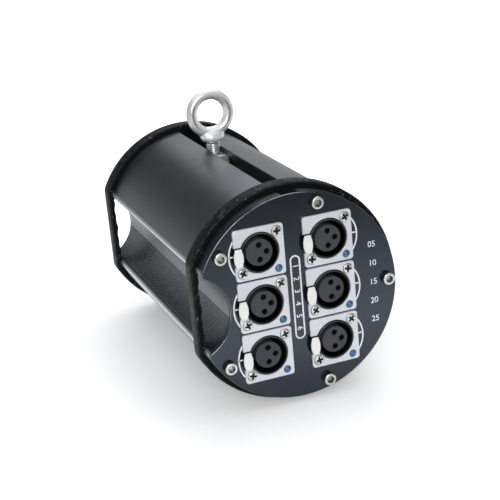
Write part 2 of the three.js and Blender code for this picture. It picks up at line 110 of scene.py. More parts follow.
class Facing(Enum):
    """The panel that a piece is on, and whether x runs to the right there."""

    FRONT = 1
    REAR = -1

    @property
    def side(self) -> str:
        """Give the panel's side in small letters."""
        return self.name.lower()

    @property
    def turn(self) -> float:
        """Give the turn about z that makes a shape look out of the panel."""
        return 0.0 if self is Facing.FRONT else math.pi

    def face(self, node: str) -> float:
        """Give the y of a node's face on this side."""
        return along(node)[0 if self is Facing.FRONT else 1]


# Where things are


@dataclass(frozen=True)
class Datum:
    """The middle of the drum's axis in the CAD frame, in millimetres."""

    x: float
    y: float
    z: float

    @classmethod
    def from_frame(cls) -> "Datum":
        """Read the drum's axis from the nodes that lie centred on it."""
        board, housing = centre_of("output_board"), centre_of("housing_extrusion")
        return cls(board[0], housing[1], board[2])

    def matrix(self) -> Matrix:
        """Return the move from drum millimetres to the CAD frame's metres."""
        return Matrix.Scale(MM, 4) @ Matrix.Translation((self.x, self.y, self.z))


def span_of(node: str) -> tuple[Place, Place]:
    """Give a CAD node's lowest and highest corner, in millimetres in the CAD frame."""
    low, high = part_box(node)
    return tuple(v / MM for v in low), tuple(v / MM for v in high)


def centre_of(node: str) -> Place:
    """Give the middle of a CAD node's box, in millimetres in the CAD frame."""
    return tuple((a + b) / 2 for a, b in zip(*span_of(node)))


DATUM = Datum.from_frame()


def along(node: str) -> Point:
    """Give a CAD node's lowest and highest y from the drum's middle."""
    low, high = span_of(node)
    return low[1] - DATUM.y, high[1] - DATUM.y


def across(node: str) -> Point:
    """Give the x and z of a CAD node's middle from the drum's axis."""
    middle = centre_of(node)
    return middle[0] - DATUM.x, middle[2] - DATUM.z


# Outlines


def arc(x: float, z: float, radius: float, start: float, end: float, steps: int) -> list[Point]:
    """Lay points on an arc from one angle to another, both ends included."""
    turns = [start + (end - start) / steps * i for i in range(steps + 1)]
    return [(x + radius * math.cos(a), z + radius * math.sin(a)) for a in turns]


def outline(*runs: Iterable[Point]) -> list[Point]:
    """Join runs of points into one closed outline, without points that repeat the one before."""
    points = [p for run in runs for p in run]
    return [p for i, p in enumerate(points) if math.dist(p, points[i - 1]) > MERGE]


def circle(x: float, z: float, radius: float, steps: int = 48) -> list[Point]:
    """Lay a full circle of points round a centre."""
    return outline(arc(x, z, radius, 0, TURN, steps))


def rounded_box(
    x: float, z: float, width: float, height: float, corner: float, steps: int = 6
) -> list[Point]:
    """Lay out a rectangle with round corners.

    Args:
        x: Its middle's x.
        z: Its middle's z.
        width: Its full width.
        height: Its full height.
        corner: The radius of its corners.
        steps: The steps in each corner.

    Returns:
        The outline's points.
    """
    right, top = width / 2 - corner, height / 2 - corner
    corners = enumerate(((right, top), (-right, top), (-right, -top), (right, -top)))
    runs = [arc(x + cx, z + cz, corner, i * QUARTER, (i + 1) * QUARTER, steps) for i, (cx, cz) in corners]
    return outline(*runs)


def polar_ring(reach: Reach, y: float, steps: int) -> list[Vector]:
    """Lay a ring of points square to the drum's axis, as far from it as the reach says."""
    turns = [TURN * i / steps for i in range(steps)]
    return [Vector((reach(a) * math.cos(a), y, reach(a) * math.sin(a))) for a in turns]


def round_reach(radius: float) -> Reach:
    """Give the reach of a circle."""
    return lambda angle: radius


def folded(angle: float, sides: int) -> float:
    """Measure an angle from the middle of the nearest side."""
    sector = TURN / sides
    return (angle + sector / 2) % sector - sector / 2


def hexagon_reach(across_flats: float) -> Reach:
    """Give the reach of a hexagon."""
    return lambda angle: across_flats / 2 / math.cos(folded(angle, 6))


def cross_reach(arm: float, blade: float) -> Reach:
    """Give the reach of a cross.

    Args:
        arm: The length of an arm from the middle.
        blade: Half the width of an arm.

    Returns:
        The distance from the middle to the outline at an angle.
    """

    def reach(angle: float) -> float:
        """Measure at one angle."""
        fold = folded(angle, 4)
        return min(arm / math.cos(fold), blade / max(abs(math.sin(fold)), TINY))

    return reach


def wound(points: Outline, anticlockwise: bool) -> list[Point]:
    """Return an outline that runs the way asked for."""
    area = sum(a[0] * b[1] - b[0] * a[1] for a, b in zip(points, [*points[1:], points[0]]))
    return list(points) if (area > 0) == anticlockwise else list(reversed(points))


def drawn_in(points: Outline, amount: float) -> list[Point]:
    """Move an outline into its material.

    Args:
        points: An outline that runs anticlockwise round material, or clockwise round a hole.
        amount: How far each side moves.

    Returns:
        The moved outline, with as many points.
    """
    sharpest = 0.4
    moved = []
    for i, (x, z) in enumerate(points):
        before, after = points[i - 1], points[(i + 1) % len(points)]
        a = Vector((z - before[1], before[0] - x)).normalized()
        b = Vector((after[1] - z, x - after[0])).normalized()
        middle = (a + b).normalized()
        reach = amount / max(middle.dot(a), sharpest)
        moved.append((x - middle.x * reach, z - middle.y * reach))
    return moved


def rounding(size: float, steps: int) -> list[Place]:
    """Give the levels of a rounded edge, from the flat end that it meets.

    Args:
        size: The rounding's radius, or 0 for a sharp edge.
        steps: The steps in it.

    Returns:
        How far each level is drawn in, how deep it lies and how much of the worn colour it takes, which is
        wear on most finishes and a painted highlight on the slot nut.
    """
    if not size:
        return [(0, 0, 0)]
    levels = []
    for i in range(steps + 1):
        angle = i / steps * QUARTER
        levels.append((size * (1 - math.sin(angle)), size * (1 - math.cos(angle)), float(0 < i < steps)))
    return levels


# Meshes


def linked(name: str, data: bpy.types.ID) -> bpy.types.Object:
    """Put data on a new object in the scene.

    Args:
        name: The object's name.
        data: Its mesh, curve, light or camera.

    Returns:
        The object.
    """
    obj = bpy.data.objects.new(name, data)
    bpy.context.scene.collection.objects.link(obj)
    return obj


def discard(obj: bpy.types.Object) -> None:
    """Remove an object and its mesh or curve.

    Args:
        obj: The object.
    """
    data = obj.data
    bpy.data.objects.remove(obj, do_unlink=True)
    store = bpy.data.meshes if isinstance(data, bpy.types.Mesh) else bpy.data.curves
    store.remove(data)


def evaluated_mesh(obj: bpy.types.Object) -> bpy.types.Mesh:
    """Give the plain mesh that an object's modifiers make, which uses the object up.

    Args:
        obj: The object.

    Returns:
        A new mesh.
    """
    bpy.context.view_layer.update()
    graph = bpy.context.evaluated_depsgraph_get()
    result = obj.evaluated_get(graph)
    mesh = bpy.data.meshes.new_from_object(result, preserve_all_data_layers=True, depsgraph=graph)
    discard(obj)
    return mesh


class Shape:
    """Closed shells gathered into one mesh, in millimetres from a place on the drum."""

    def __init__(self, x: float = 0, y: float = 0, z: float = 0, facing: Facing = Facing.FRONT) -> None:
        """Start an empty shape at a place, looking out of a panel."""
        self.place = Matrix.Translation((x, y, z)) @ Matrix.Rotation(facing.turn, 4, "Z")
        self.bm = bmesh.new()

    @property
    def edge(self) -> bmesh.types.BMLayerItem:
        """Give the layer that says how much of a finish's worn colour each vertex takes, which is wear on
        most pieces and painted light on a few.
        """
        layers = self.bm.verts.layers.float
        return layers.get(EDGE) or layers.new(EDGE)

    def ring(self, points: Iterable[Vector], worn: float = 0) -> list[bmesh.types.BMVert]:
        """Add one ring of vertices.

        Args:
            points: Their places.
            worn: How much of the worn colour they take, which is wear on most pieces and painted light on a
                few.

        Returns:
            The vertices.
        """
        edge = self.edge
        ring = [self.bm.verts.new(p) for p in points]
        for vert in ring:
            vert[edge] = worn
        return ring

    def face(self, verts: Sequence[bmesh.types.BMVert], slot: int, smooth: bool) -> None:
        """Add one face, unless it has no area.

        Args:
            verts: Its corners.
            slot: Its material slot.
            smooth: Whether it is shaded as part of a curve.
        """
        seen = list(dict.fromkeys(verts))
        if len(seen) < 3 or self.bm.faces.get(seen):
            return
        face = self.bm.faces.new(seen)
        face.material_index = slot
        face.smooth = smooth

    def bridge(self, a: list, b: list, slot: int) -> None:
        """Join two rings of the same count, either of which may be a single point.

        Args:
            a: The first ring.
            b: The second ring.
            slot: The material slot of the faces.
        """
        count = max(len(a), len(b))
        for i in range(count):
            j = (i + 1) % count
            self.face([a[i % len(a)], a[j % len(a)], b[j % len(b)], b[i % len(b)]], slot, True)

    def cap(self, rings: Sequence[list], slot: int) -> None:
        """Close a flat end between an outer ring and its holes.

        Args:
            rings: The outer ring and the holes' rings.
            slot: The material slot of the faces.
        """
        verts = [v for ring in rings for v in ring]
        for corners in tessellate_polygon([[v.co for v in ring] for ring in rings]):
            self.face([verts[i] for i in corners], slot, False)

    def prism(
        self, outer: Outline, near: float, far: float, holes: Sequence[Outline] = (), bevel: float = 0,
        far_bevel: Optional[float] = None, steps: int = 3, slots: Sequence[int] = (0, 0, 0),
    ) -> "Shape":
        """Add an outline extruded along the drum, with rounded edges.

        Args:
            outer: The outline, seen from the front.
            near: The low end's y.
            far: The high end's y.
            holes: The outlines of holes that go right through.
            bevel: The rounding of the near edges.
            far_bevel: The rounding of the far edges, or None for the same.
            steps: The steps in a rounding.
            slots: The material slots of the faces, of the outer roundings and of the holes' walls.

        Returns:
            The shape itself.
        """
        start = rounding(bevel, steps)
        end = reversed(rounding(bevel if far_bevel is None else far_bevel, steps))
        levels = [(inset, near + deep, worn) for inset, deep, worn in start]
        levels += [(inset, far - deep, worn) for inset, deep, worn in end]
        faces, edges, walls = slots
        ends = []
        for index, loop in enumerate([wound(outer, True)] + [wound(hole, False) for hole in holes]):
            rings = [
                self.ring((Vector((x, y, z)) for x, z in drawn_in(loop, inset)), worn)
                for inset, y, worn in levels
            ]
            for i, (a, b) in enumerate(zip(rings, rings[1:])):
                outside = faces if i == len(start) - 1 else edges
                self.bridge(a, b, walls if index else outside)
            ends.append((rings[0], rings[-1]))
        for rings in zip(*ends):
            self.cap(rings, faces)
        return self

    def turned(
        self, profile: Outline, centre: Point = (0, 0), axis: Axis = Axis.ALONG, steps: int = 48,
        slot: int = 0, worn: Sequence[int] = (),
    ) -> "Shape":
        """Add a profile of radius and height turned about an axis.

        Args:
            profile: The pairs, from the axis back to the axis, or closed on itself.
            centre: The axis's x and z, or its x and y where it points up.
            axis: The way that the axis points.
            steps: The steps round it.
            slot: The material slot of the faces.
            worn: The numbers of the pairs that take the worn colour, which on the socket shells' ridge is a
                painted highlight.

        Returns:
            The shape itself.
        """
        rings = []
        for index, (radius, height) in enumerate(profile):
            turns = [TURN * i / steps for i in range(steps if radius > TINY else 1)]
            spots = [(centre[0] + radius * math.cos(a), centre[1] + radius * math.sin(a)) for a in turns]
            points = [Vector((u, height, w) if axis is Axis.ALONG else (u, w, height)) for u, w in spots]
            rings.append(self.ring(points, float(index in worn)))
        if min(profile[0][0], profile[-1][0]) > TINY:
            rings.append(rings[0])
        for a, b in zip(rings, rings[1:]):
            self.bridge(a, b, slot)
        return self

    def loft(
        self, levels: Sequence[tuple[Reach, float]], steps: int, recess_from: int, shaded_until: int = 0,
        floor_slot: int = 1,
    ) -> "Shape":
        """Add a skin over rings laid along the drum, with both ends closed by a fan.

        Args:
            levels: Each ring's reach and its y, in order.
            steps: The points in a ring.
            recess_from: The first ring of the recess at the end, whose faces take slot 1, which the screws
                fill with painted shade.
            shaded_until: The last ring of a start whose faces take slot 1 too, as painted shade.
            floor_slot: The slot of the recess's floor.

        Returns:
            The shape itself.
        """
        made = [self.ring(polar_ring(reach, y, steps)) for reach, y in levels]
        for i, (a, b) in enumerate(zip(made, made[1:])):
            self.bridge(a, b, int(i >= recess_from or i < shaded_until))
        for ring, slot in ((made[0], 0), (made[-1], floor_slot)):
            middle = sum((v.co for v in ring), Vector()) / len(ring)
            self.bridge(ring, self.ring([middle]), slot)
        return self

    def take(self, mesh: bpy.types.Mesh) -> "Shape":
        """Add a loose mesh's faces to the shape, which uses the mesh up.

        Args:
            mesh: The mesh, in millimetres.

        Returns:
            The shape itself.
        """
        self.bm.from_mesh(mesh)
        bpy.data.meshes.remove(mesh)
        return self

    def cut(self, cutter: "Shape") -> "Shape":
        """Take another shape away from this one.

        Args:
            cutter: The shape to take away, which is used up.

        Returns:
            The shape itself.
        """
        target, tool = self.loose_object("cut_target"), cutter.loose_object("cut_tool")
        modifier = target.modifiers.new("cut", "BOOLEAN")
        modifier.operation = "DIFFERENCE"
        modifier.solver = "EXACT"
        modifier.object = tool
        mesh = evaluated_mesh(target)
        discard(tool)
        self.bm = bmesh.new()
        return self.take(mesh)

    def tidy(self) -> None:
        """Merge doubles and turn the faces outwards."""
        bmesh.ops.remove_doubles(self.bm, verts=self.bm.verts, dist=MERGE)
        bmesh.ops.recalc_face_normals(self.bm, faces=self.bm.faces)

    def loose_mesh(self, name: str) -> bpy.types.Mesh:
        """Put the shape, still in millimetres, in a mesh, which uses it up.

        Args:
            name: The mesh's name.

        Returns:
            The mesh.
        """
        self.tidy()
        mesh = bpy.data.meshes.new(name)
        self.bm.to_mesh(mesh)
        self.bm.free()
        return mesh

    def loose_object(self, name: str) -> bpy.types.Object:
        """Put the shape on an object of its own, with the faces of slot 1 marked as a recess.

        Args:
            name: The object's name.

        Returns:
            The object.
        """
        mesh = self.loose_mesh(name)
        marks = mesh.attributes.new(RECESS, "BOOLEAN", "FACE")
        for face in mesh.polygons:
            marks.data[face.index].value = face.material_index == 1
        return linked(name, mesh)


@dataclass(frozen=True)
class Piece:
    """What a finished piece is called, wears, rides on and stands for."""

    name: str
    finishes: Sequence["Finish"]
    body: Union[Body, str] = Body.BASE
    replaces: Sequence[str] = ()
    crease: float = 38

    def of_bake(self, mesh: bpy.types.Mesh, wear_and_light_amount: Optional[WearAndLightAmount] = None) -> None:
        """Make the piece of a baked mesh in millimetres from the drum's middle, smooth all over.

        Args:
            mesh: The baked mesh, which is used up.
            wear_and_light_amount: Gives how much of the worn colour a place takes, from the place and the way
                it faces, or None; on the forging this is painted light and shade, on the drum a painted
                highlight along the lips.
        """
        worn_as = [material.name if material else "" for material in mesh.materials]
        slots = {finish.name: index for index, finish in enumerate(self.finishes)}
        shape = Shape().take(mesh)
        shape.tidy()
        if wear_and_light_amount:
            shape.bm.normal_update()
            edge = shape.edge
            for vert in shape.bm.verts:
                vert[edge] = wear_and_light_amount(vert.co, vert.normal)
        for face in shape.bm.faces:
            face.smooth = True
            face.material_index = slots.get(worn_as[face.material_index], 0) if worn_as else 0
        self.of_shape(shape, clean=True)

    def of_shape(self, shape: Shape, clean: bool = False) -> None:
        """Make the piece of a shape, at the origin with its place in its mesh, and fix it to its body.

        Args:
            shape: The shape, which is used up.
            clean: Whether its doubles are merged and its faces turned already.
        """
        if not clean:
            shape.tidy()
        shape.bm.transform(DATUM.matrix() @ shape.place)
        mesh = bpy.data.meshes.new(self.name)
        shape.bm.to_mesh(mesh)
        smooth = [face.smooth for face in shape.bm.faces]
        shape.bm.free()
        mesh.set_sharp_from_angle(angle=math.radians(self.crease))
        mesh.polygons.foreach_set("use_smooth", smooth)
        for finish in self.finishes:
            mesh.materials.append(finish.material())
        obj = linked(self.name, mesh)
        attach(obj, self.body.value if isinstance(self.body, Body) else self.body)
        if self.replaces:
            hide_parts(*self.replaces)
        log.info("piece %s: %d faces, on %s", obj.name, len(mesh.polygons), obj["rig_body"])


# Node trees

VECTOR = "NodeSocketVector"
GEOMETRY = "NodeSocketGeometry"
NUMBERS = {float: "NodeSocketFloat", int: "NodeSocketInt"}


def open_inputs(tree: bpy.types.NodeTree, inputs: dict[str, object]) -> dict[str, str]:
    """Give a node group its named inputs.

    Args:
        tree: The group.
        inputs: Each input's default number, or the type of a socket that has none.

    Returns:
        Each input's identifier.
    """
    keys = {}
    for label, value in inputs.items():
        kind = value if isinstance(value, str) else NUMBERS[type(value)]
        made = tree.interface.new_socket(label, in_out="INPUT", socket_type=kind)
        if not isinstance(value, str):
            made.default_value = value
        keys[label] = made.identifier
    return keys


class NodeBoard:
    """Lays nodes in one tree and wires them."""

    def __init__(self, tree: bpy.types.NodeTree) -> None:
        """Work on a tree."""
        self.tree = tree

    @classmethod
    def cleared(cls, owner: Union[bpy.types.Material, bpy.types.World]) -> "NodeBoard":
        """Give the board of a material or a world, with nothing on it.

        Args:
            owner: The material or world.

        Returns:
            The board.
        """
        owner.use_nodes = True
        owner.node_tree.nodes.clear()
        return cls(owner.node_tree)

    def add(self, kind: str, inputs: Optional[dict] = None, **settings: object) -> Node:
        """Add a node.

        Args:
            kind: The node's type name.
            inputs: Values or sockets for its inputs, by name or number.
            **settings: Values for its own properties.

        Returns:
            The node.
        """
        node = self.tree.nodes.new(kind)
        for name, value in settings.items():
            setattr(node, name, value)
        for key, value in (inputs or {}).items():
            if isinstance(value, Socket):
                self.tree.links.new(value, node.inputs[key])
            else:
                node.inputs[key].default_value = value
        return node

    def math(self, operation: str, a: Value, b: Value = 0.0) -> Socket:
        """Add a sum of two values and return its result."""
        return self.add("ShaderNodeMath", {0: a, 1: b}, operation=operation).outputs[0]

    def vector(self, **parts: Value) -> Socket:
        """Add a vector made of X, Y and Z."""
        return self.add("ShaderNodeCombineXYZ", parts).outputs[0]

    def noise(self, vector: Socket, scale: Value, detail: float, roughness: float = 0.5) -> Socket:
        """Add noise and return its value."""
        inputs = {"Vector": vector, "Scale": scale, "Detail": detail, "Roughness": roughness}
        return self.add("ShaderNodeTexNoise", inputs).outputs["Fac"]

    def graded(self, value: Socket, reach: tuple[Value, Value], result: tuple[Value, Value]) -> Socket:
        """Turn one range of a value evenly into another.

        Args:
            value: The value.
            reach: The range that it comes in.
            result: What the two ends of the range become.

        Returns:
            The new value.
        """
        inputs = {"Value": value, "From Min": reach[0], "From Max": reach[1]}
        inputs |= {"To Min": result[0], "To Max": result[1]}
        return self.add("ShaderNodeMapRange", inputs).outputs["Result"]

    def mixed(self, mask: Socket, low: Union[Colour, Socket], high: Colour) -> Socket:
        """Mix two colours by a mask."""
        start = low if isinstance(low, Socket) else (*low, 1)
        return self.add("ShaderNodeMix", {0: mask, 6: start, 7: (*high, 1)}, data_type="RGBA").outputs[2]


class EffectGroup:
    """A shader node group that several finishes share, with one output."""

    def __init__(
        self, name: str, output: str, inputs: dict[str, object],
        build: Callable[[NodeBoard, bpy.types.NodeOutputs], Socket],
    ) -> None:
        """Make the group.

        Args:
            name: The group's name.
            output: The output's name.
            inputs: Each input's default number, or the type of a socket that has none.
            build: Lays the effect's nodes from the group's inputs and gives the socket to put out.
        """
        self.tree = bpy.data.node_groups.new(name, "ShaderNodeTree")
        open_inputs(self.tree, inputs)
        self.tree.interface.new_socket(output, in_out="OUTPUT", socket_type=NUMBERS[float])
        board = NodeBoard(self.tree)
        board.add("NodeGroupOutput", {output: build(board, board.add("NodeGroupInput").outputs)})

    def place(self, board: NodeBoard, **inputs: Value) -> Socket:
        """Put the group in a material with values or sockets for its inputs, and return its output."""
        return board.add("ShaderNodeGroup", inputs, node_tree=self.tree).outputs[0]


def lay_grain(board: NodeBoard, given: bpy.types.NodeOutputs) -> Socket:
    """Lay the grain effect, an even spread of soft spots."""
    noise = board.noise(given["Vector"], given["Scale"], detail=5.0, roughness=0.6)
    return board.graded(noise, (0.3, 0.7), (given["Low"], given["High"]))


def lay_drawn_lines(board: NodeBoard, given: bpy.types.NodeOutputs) -> Socket:
    """Lay the drawn-line effect, whose lines run along the drum.

    Args:
        board: The group's board.
        given: The group's inputs.

    Returns:
        The value to put out.
    """
    stretch = {0: given["Vector"], 1: (1.0, 0.012, 1.0)}
    drawn = board.add("ShaderNodeVectorMath", stretch, operation="MULTIPLY").outputs[0]
    noise = board.noise(drawn, given["Scale"], detail=3.0, roughness=0.7)
    return board.graded(noise, (0.25, 0.75), (given["Low"], given["High"]))


def lay_edge_wear(board: NodeBoard, given: bpy.types.NodeOutputs) -> Socket:
    """Lay the mask of a finish's worn colour, which reads how exposed each edge is and breaks it up; it
    carries wear, and on some finishes painted light.

    Args:
        board: The group's board.
        given: The group's inputs.

    Returns:
        The mask to put out.
    """
    noise = board.noise(given["Vector"], given["Scale"], detail=6.0, roughness=0.7)
    gaps = board.math("SUBTRACT", 1.0, board.graded(noise, (0.42, 0.6), (0.0, 1.0)))
    kept = board.math("SUBTRACT", 1.0, board.math("MULTIPLY", gaps, given["Patchiness"]))
    edge = board.add("ShaderNodeAttribute", attribute_name=EDGE).outputs["Fac"]
    return board.math("MULTIPLY", board.math("MULTIPLY", edge, kept), given["Amount"])


def lay_lint(board: NodeBoard, given: bpy.types.NodeOutputs) -> Socket:
    """Lay the lint effect: small pale specks, some of them clustered.

    Args:
        board: The group's board.
        given: The group's inputs.

    Returns:
        The mask to put out.
    """
    spread = {"Vector": given["Vector"], "Scale": given["Scale"], "Randomness": 1.0}
    cells = board.add("ShaderNodeTexVoronoi", spread).outputs["Distance"]
    specks = board.graded(cells, (0.0, given["Size"]), (1.0, 0.0))
    clusters = board.graded(board.noise(given["Vector"], 190.0, detail=2.0), (0.55, 0.66), (0.0, 1.0))
    return board.math("MULTIPLY", specks, clusters)


SPREAD = {"Vector": VECTOR, "Scale": 500.0, "Low": 0.0, "High": 1.0}
WEAR = {"Vector": VECTOR, "Scale": 400.0, "Amount": 0.5, "Patchiness": 1.0}
SPECKS = {"Vector": VECTOR, "Scale": 900.0, "Size": 0.25}
GRAIN = EffectGroup("grain", "Value", SPREAD, lay_grain)
DRAWN_LINES = EffectGroup("drawn_lines", "Value", SPREAD, lay_drawn_lines)
WEAR_AND_LIGHT_MASK = EffectGroup("edge_wear", "Mask", WEAR, lay_edge_wear)
LINT = EffectGroup("lint", "Mask", SPECKS, lay_lint)


# Finishes


class Pattern(Enum):
    """The fine relief of a finish."""

    GRAINED = "grained"
    DRAWN = "drawn"


@dataclass(frozen=True)
class Finish:
    """A finish made of two close colours, a fine relief, uneven gloss, worn edges and lint; on some finishes
    the worn colour is painted light.
    """

    name: str
    slot: str
    low: Colour
    high: Colour
    rough: float
    rough_spread: float = 0.06
    gloss_scale: float = 2.3
    metallic: float = 0.0
    pattern: Pattern = Pattern.GRAINED
    relief_scale: float = 2500.0
    relief: float = 0.05
    relief_depth: float = 0.0002
    blotch_scale: float = 60.0
    worn: Optional[Colour] = None
    wear: float = 0.0
    wear_scale: float = 700.0
    patchy: float = 1.0
    bare: bool = False
    lint: float = 0.0
    lint_colour: Colour = (0.42, 0.42, 0.43)
    lint_scale: float = 700.0
    lint_size: float = 0.34
    specular: float = 0.5
    tint: Colour = (1.0, 1.0, 1.0)
    coat: float = 0.0
    coat_rough: float = 0.08
    ior: float = 1.5
    glow: Optional[Colour] = None
    glow_strength: float = 0.2

    def material(self) -> bpy.types.Material:
        """Make the material, or give the one already made.

        Returns:
            The material.
        """
        made = bpy.data.materials.get(self.name)
        if not made:
            made = bpy.data.materials.new(self.name)
            self.lay(NodeBoard.cleared(made))
        return made

    def lay(self, board: NodeBoard) -> None:
        """Lay the finish's nodes.

        Args:
            board: The material's board.
        """
        place = board.add("ShaderNodeTexCoord").outputs["Object"]
        base = board.mixed(GRAIN.place(board, Vector=place, Scale=self.blotch_scale), self.low, self.high)
        effect = DRAWN_LINES if self.pattern is Pattern.DRAWN else GRAIN
        relief = effect.place(board, Vector=place, Scale=self.relief_scale)
        gloss = GRAIN.place(
            board, Vector=place, Scale=self.blotch_scale * self.gloss_scale,
            Low=self.rough - self.rough_spread, High=self.rough + self.rough_spread,
        )
        metallic = self.metallic
        if self.worn and self.wear:
            mask = WEAR_AND_LIGHT_MASK.place(
                board, Vector=place, Scale=self.wear_scale, Amount=self.wear, Patchiness=self.patchy
            )
            metallic = mask if self.bare else metallic
            base = board.mixed(mask, base, self.worn)
        if self.lint:
            specks = LINT.place(board, Vector=place, Scale=self.lint_scale, Size=self.lint_size)
            base = board.mixed(board.math("MULTIPLY", specks, self.lint), base, self.lint_colour)
        bump = {"Height": relief, "Strength": self.relief, "Distance": self.relief_depth}
        inputs = {
            "Base Color": base, "Roughness": gloss, "Metallic": metallic, "IOR": self.ior,
            "Normal": board.add("ShaderNodeBump", bump).outputs["Normal"], "Coat Weight": self.coat,
            "Coat Roughness": self.coat_rough, "Specular IOR Level": self.specular,
            "Specular Tint": (*self.tint, 1),
        }
        if self.glow:
            inputs |= {"Emission Color": (*self.glow, 1), "Emission Strength": self.glow_strength}
        shader = board.add("ShaderNodeBsdfPrincipled", inputs)
        board.add("ShaderNodeOutputMaterial", {"Surface": shader.outputs[0]})


# Black anodising; its pale bare-metal worn colour along the lip crests is a painted highlight.
ANODISED = Finish(
    "satin_black_anodising", "anodised_body", low=(0.0045, 0.0048, 0.006), high=(0.007, 0.0073, 0.009),
    rough=0.38, rough_spread=0.03, pattern=Pattern.DRAWN, relief_scale=3800.0, specular=1.0, ior=1.6,
    tint=(0.80, 0.87, 1.0), worn=(0.72, 0.71, 0.68), wear=0.9, patchy=0.25, bare=True,
)
RIBBED = replace(ANODISED, name="ribbed_black_anodising", rough=0.26, rough_spread=0.02, wear=0.0)
PANEL = Finish(
    "blue_black_panel_coat", "panel_coat", low=(0.005, 0.006, 0.010), high=(0.007, 0.009, 0.014),
    rough=0.17, rough_spread=0.02, relief_scale=5200.0, relief=0.03, blotch_scale=26.0, specular=1.0,
    tint=(0.74, 0.84, 1.0), worn=(0.25, 0.26, 0.28), wear=0.3,
)
CUT_EDGE = Finish(
    "bright_cut_edge", "panel_coat", low=(0.07, 0.073, 0.08), high=(0.17, 0.173, 0.18),
    rough=0.3, metallic=1.0, relief_scale=4200.0, relief=0.04,
)
RUBBER = Finish(
    "moulded_black_rubber", "bumper_rubber", low=(0.002, 0.002, 0.0024), high=(0.004, 0.004, 0.0046),
    rough=0.52, rough_spread=0.1, relief_scale=2600.0, relief=0.3, blotch_scale=120.0, specular=0.12,
    tint=(0.84, 0.89, 1.0), worn=(0.05, 0.05, 0.056), wear=0.6, lint=0.8,
)
# Steel of the eye bolt's forging: its grey colours are painted shade and its pale worn colour is painted
# light, both laid by the forging's painted-light mask.
STEEL = Finish(
    "polished_steel", "bright_steel", low=(0.26, 0.26, 0.27), high=(0.36, 0.36, 0.37),
    rough=0.26, rough_spread=0.05, metallic=0.35, relief_scale=900.0, blotch_scale=160.0,
    worn=(0.95, 0.95, 0.95), wear=1.0, patchy=0.0,
)
SHANK_STEEL = replace(
    STEEL, name="threaded_steel", low=(0.70, 0.70, 0.71), high=(0.86, 0.86, 0.87), rough=0.25,
    metallic=0.85, wear=0.0,
)
# Nut steel whose pale worn colour along the bevels is a painted highlight.
NUT_STEEL = Finish(
    "dull_nut_steel", "bright_steel", low=(0.50, 0.50, 0.51), high=(0.64, 0.64, 0.65), rough=0.3,
    metallic=0.5, relief_scale=1400.0, relief=0.08, blotch_scale=200.0, worn=(0.95, 0.95, 0.95),
    wear=1.0, patchy=0.1,
)
SCREW_STEEL = Finish(
    "bright_screw_steel", "bright_steel", low=(0.74, 0.75, 0.73), high=(0.86, 0.87, 0.85),
    rough=0.3, metallic=0.85, relief_scale=1800.0, blotch_scale=300.0,
)
# Near-black finish for screw recesses and the insert's hole walls: painted shade.
PAINTED_SHADE_STEEL = Finish(
    "dark_recess_steel", "bright_steel", low=(0.004, 0.004, 0.0045), high=(0.012, 0.012, 0.013),
    rough=0.5, relief_scale=1800.0, relief=0.15, blotch_scale=500.0,
)
PLATE = Finish(
    "satin_nickel_plate", "socket_plate", low=(0.69, 0.71, 0.76), high=(0.77, 0.79, 0.83), rough=0.38,
    rough_spread=0.05, metallic=0.25, relief_scale=3200.0, relief=0.06, blotch_scale=90.0,
    worn=(0.86, 0.87, 0.90), wear=0.5,
)
LATCH = Finish(
    "pale_latch_metal", "latch_metal", low=(0.83, 0.83, 0.81), high=(0.90, 0.90, 0.88),
    rough=0.32, relief_scale=1600.0, relief=0.04, blotch_scale=200.0,
)
# Its paler worn colour is wear on rounded edges, and on the socket shells' ridge a painted highlight.
MOULDING = Finish(
    "black_moulded_shell", "black_moulding", low=(0.0022, 0.0022, 0.0026), high=(0.0036, 0.0036, 0.0042),
    rough=0.28, relief_scale=3000.0, relief=0.1, specular=0.4, worn=(0.11, 0.11, 0.12), wear=0.6, patchy=0.3,
)
INSULATOR = Finish(
    "dark_grey_insulator", "insulator", low=(0.038, 0.041, 0.050), high=(0.052, 0.055, 0.066),
    rough=0.55, relief_scale=2600.0, relief=0.14, specular=0.4,
)
CONTACT = Finish(
    "gilt_contact", "insulator", low=(0.56, 0.42, 0.18), high=(0.72, 0.56, 0.26), rough=0.25, metallic=1.0
)
LENS = Finish(
    "blue_indicator_lens", "blue_lens", low=(0.012, 0.07, 0.17), high=(0.03, 0.125, 0.27),
    rough=0.18, relief=0.02, blotch_scale=500.0, coat=0.6, glow=(0.012, 0.08, 0.22),
)
PRINT = Finish(
    "white_panel_print", "panel_coat", low=(0.80, 0.80, 0.82), high=(0.90, 0.90, 0.92), rough=0.5,
    relief_scale=3800.0,
)
BOARD = Finish(
    "green_solder_mask", "circuit_board", low=(0.008, 0.075, 0.028), high=(0.014, 0.11, 0.045), rough=0.4,
    relief=0.1,
)
MODULE = Finish(
    "folded_module_sheet", "module_case", low=(0.42, 0.44, 0.46), high=(0.52, 0.54, 0.56), rough=0.4,
    metallic=1.0, pattern=Pattern.DRAWN, relief=0.1,
)


# Geometry node trees


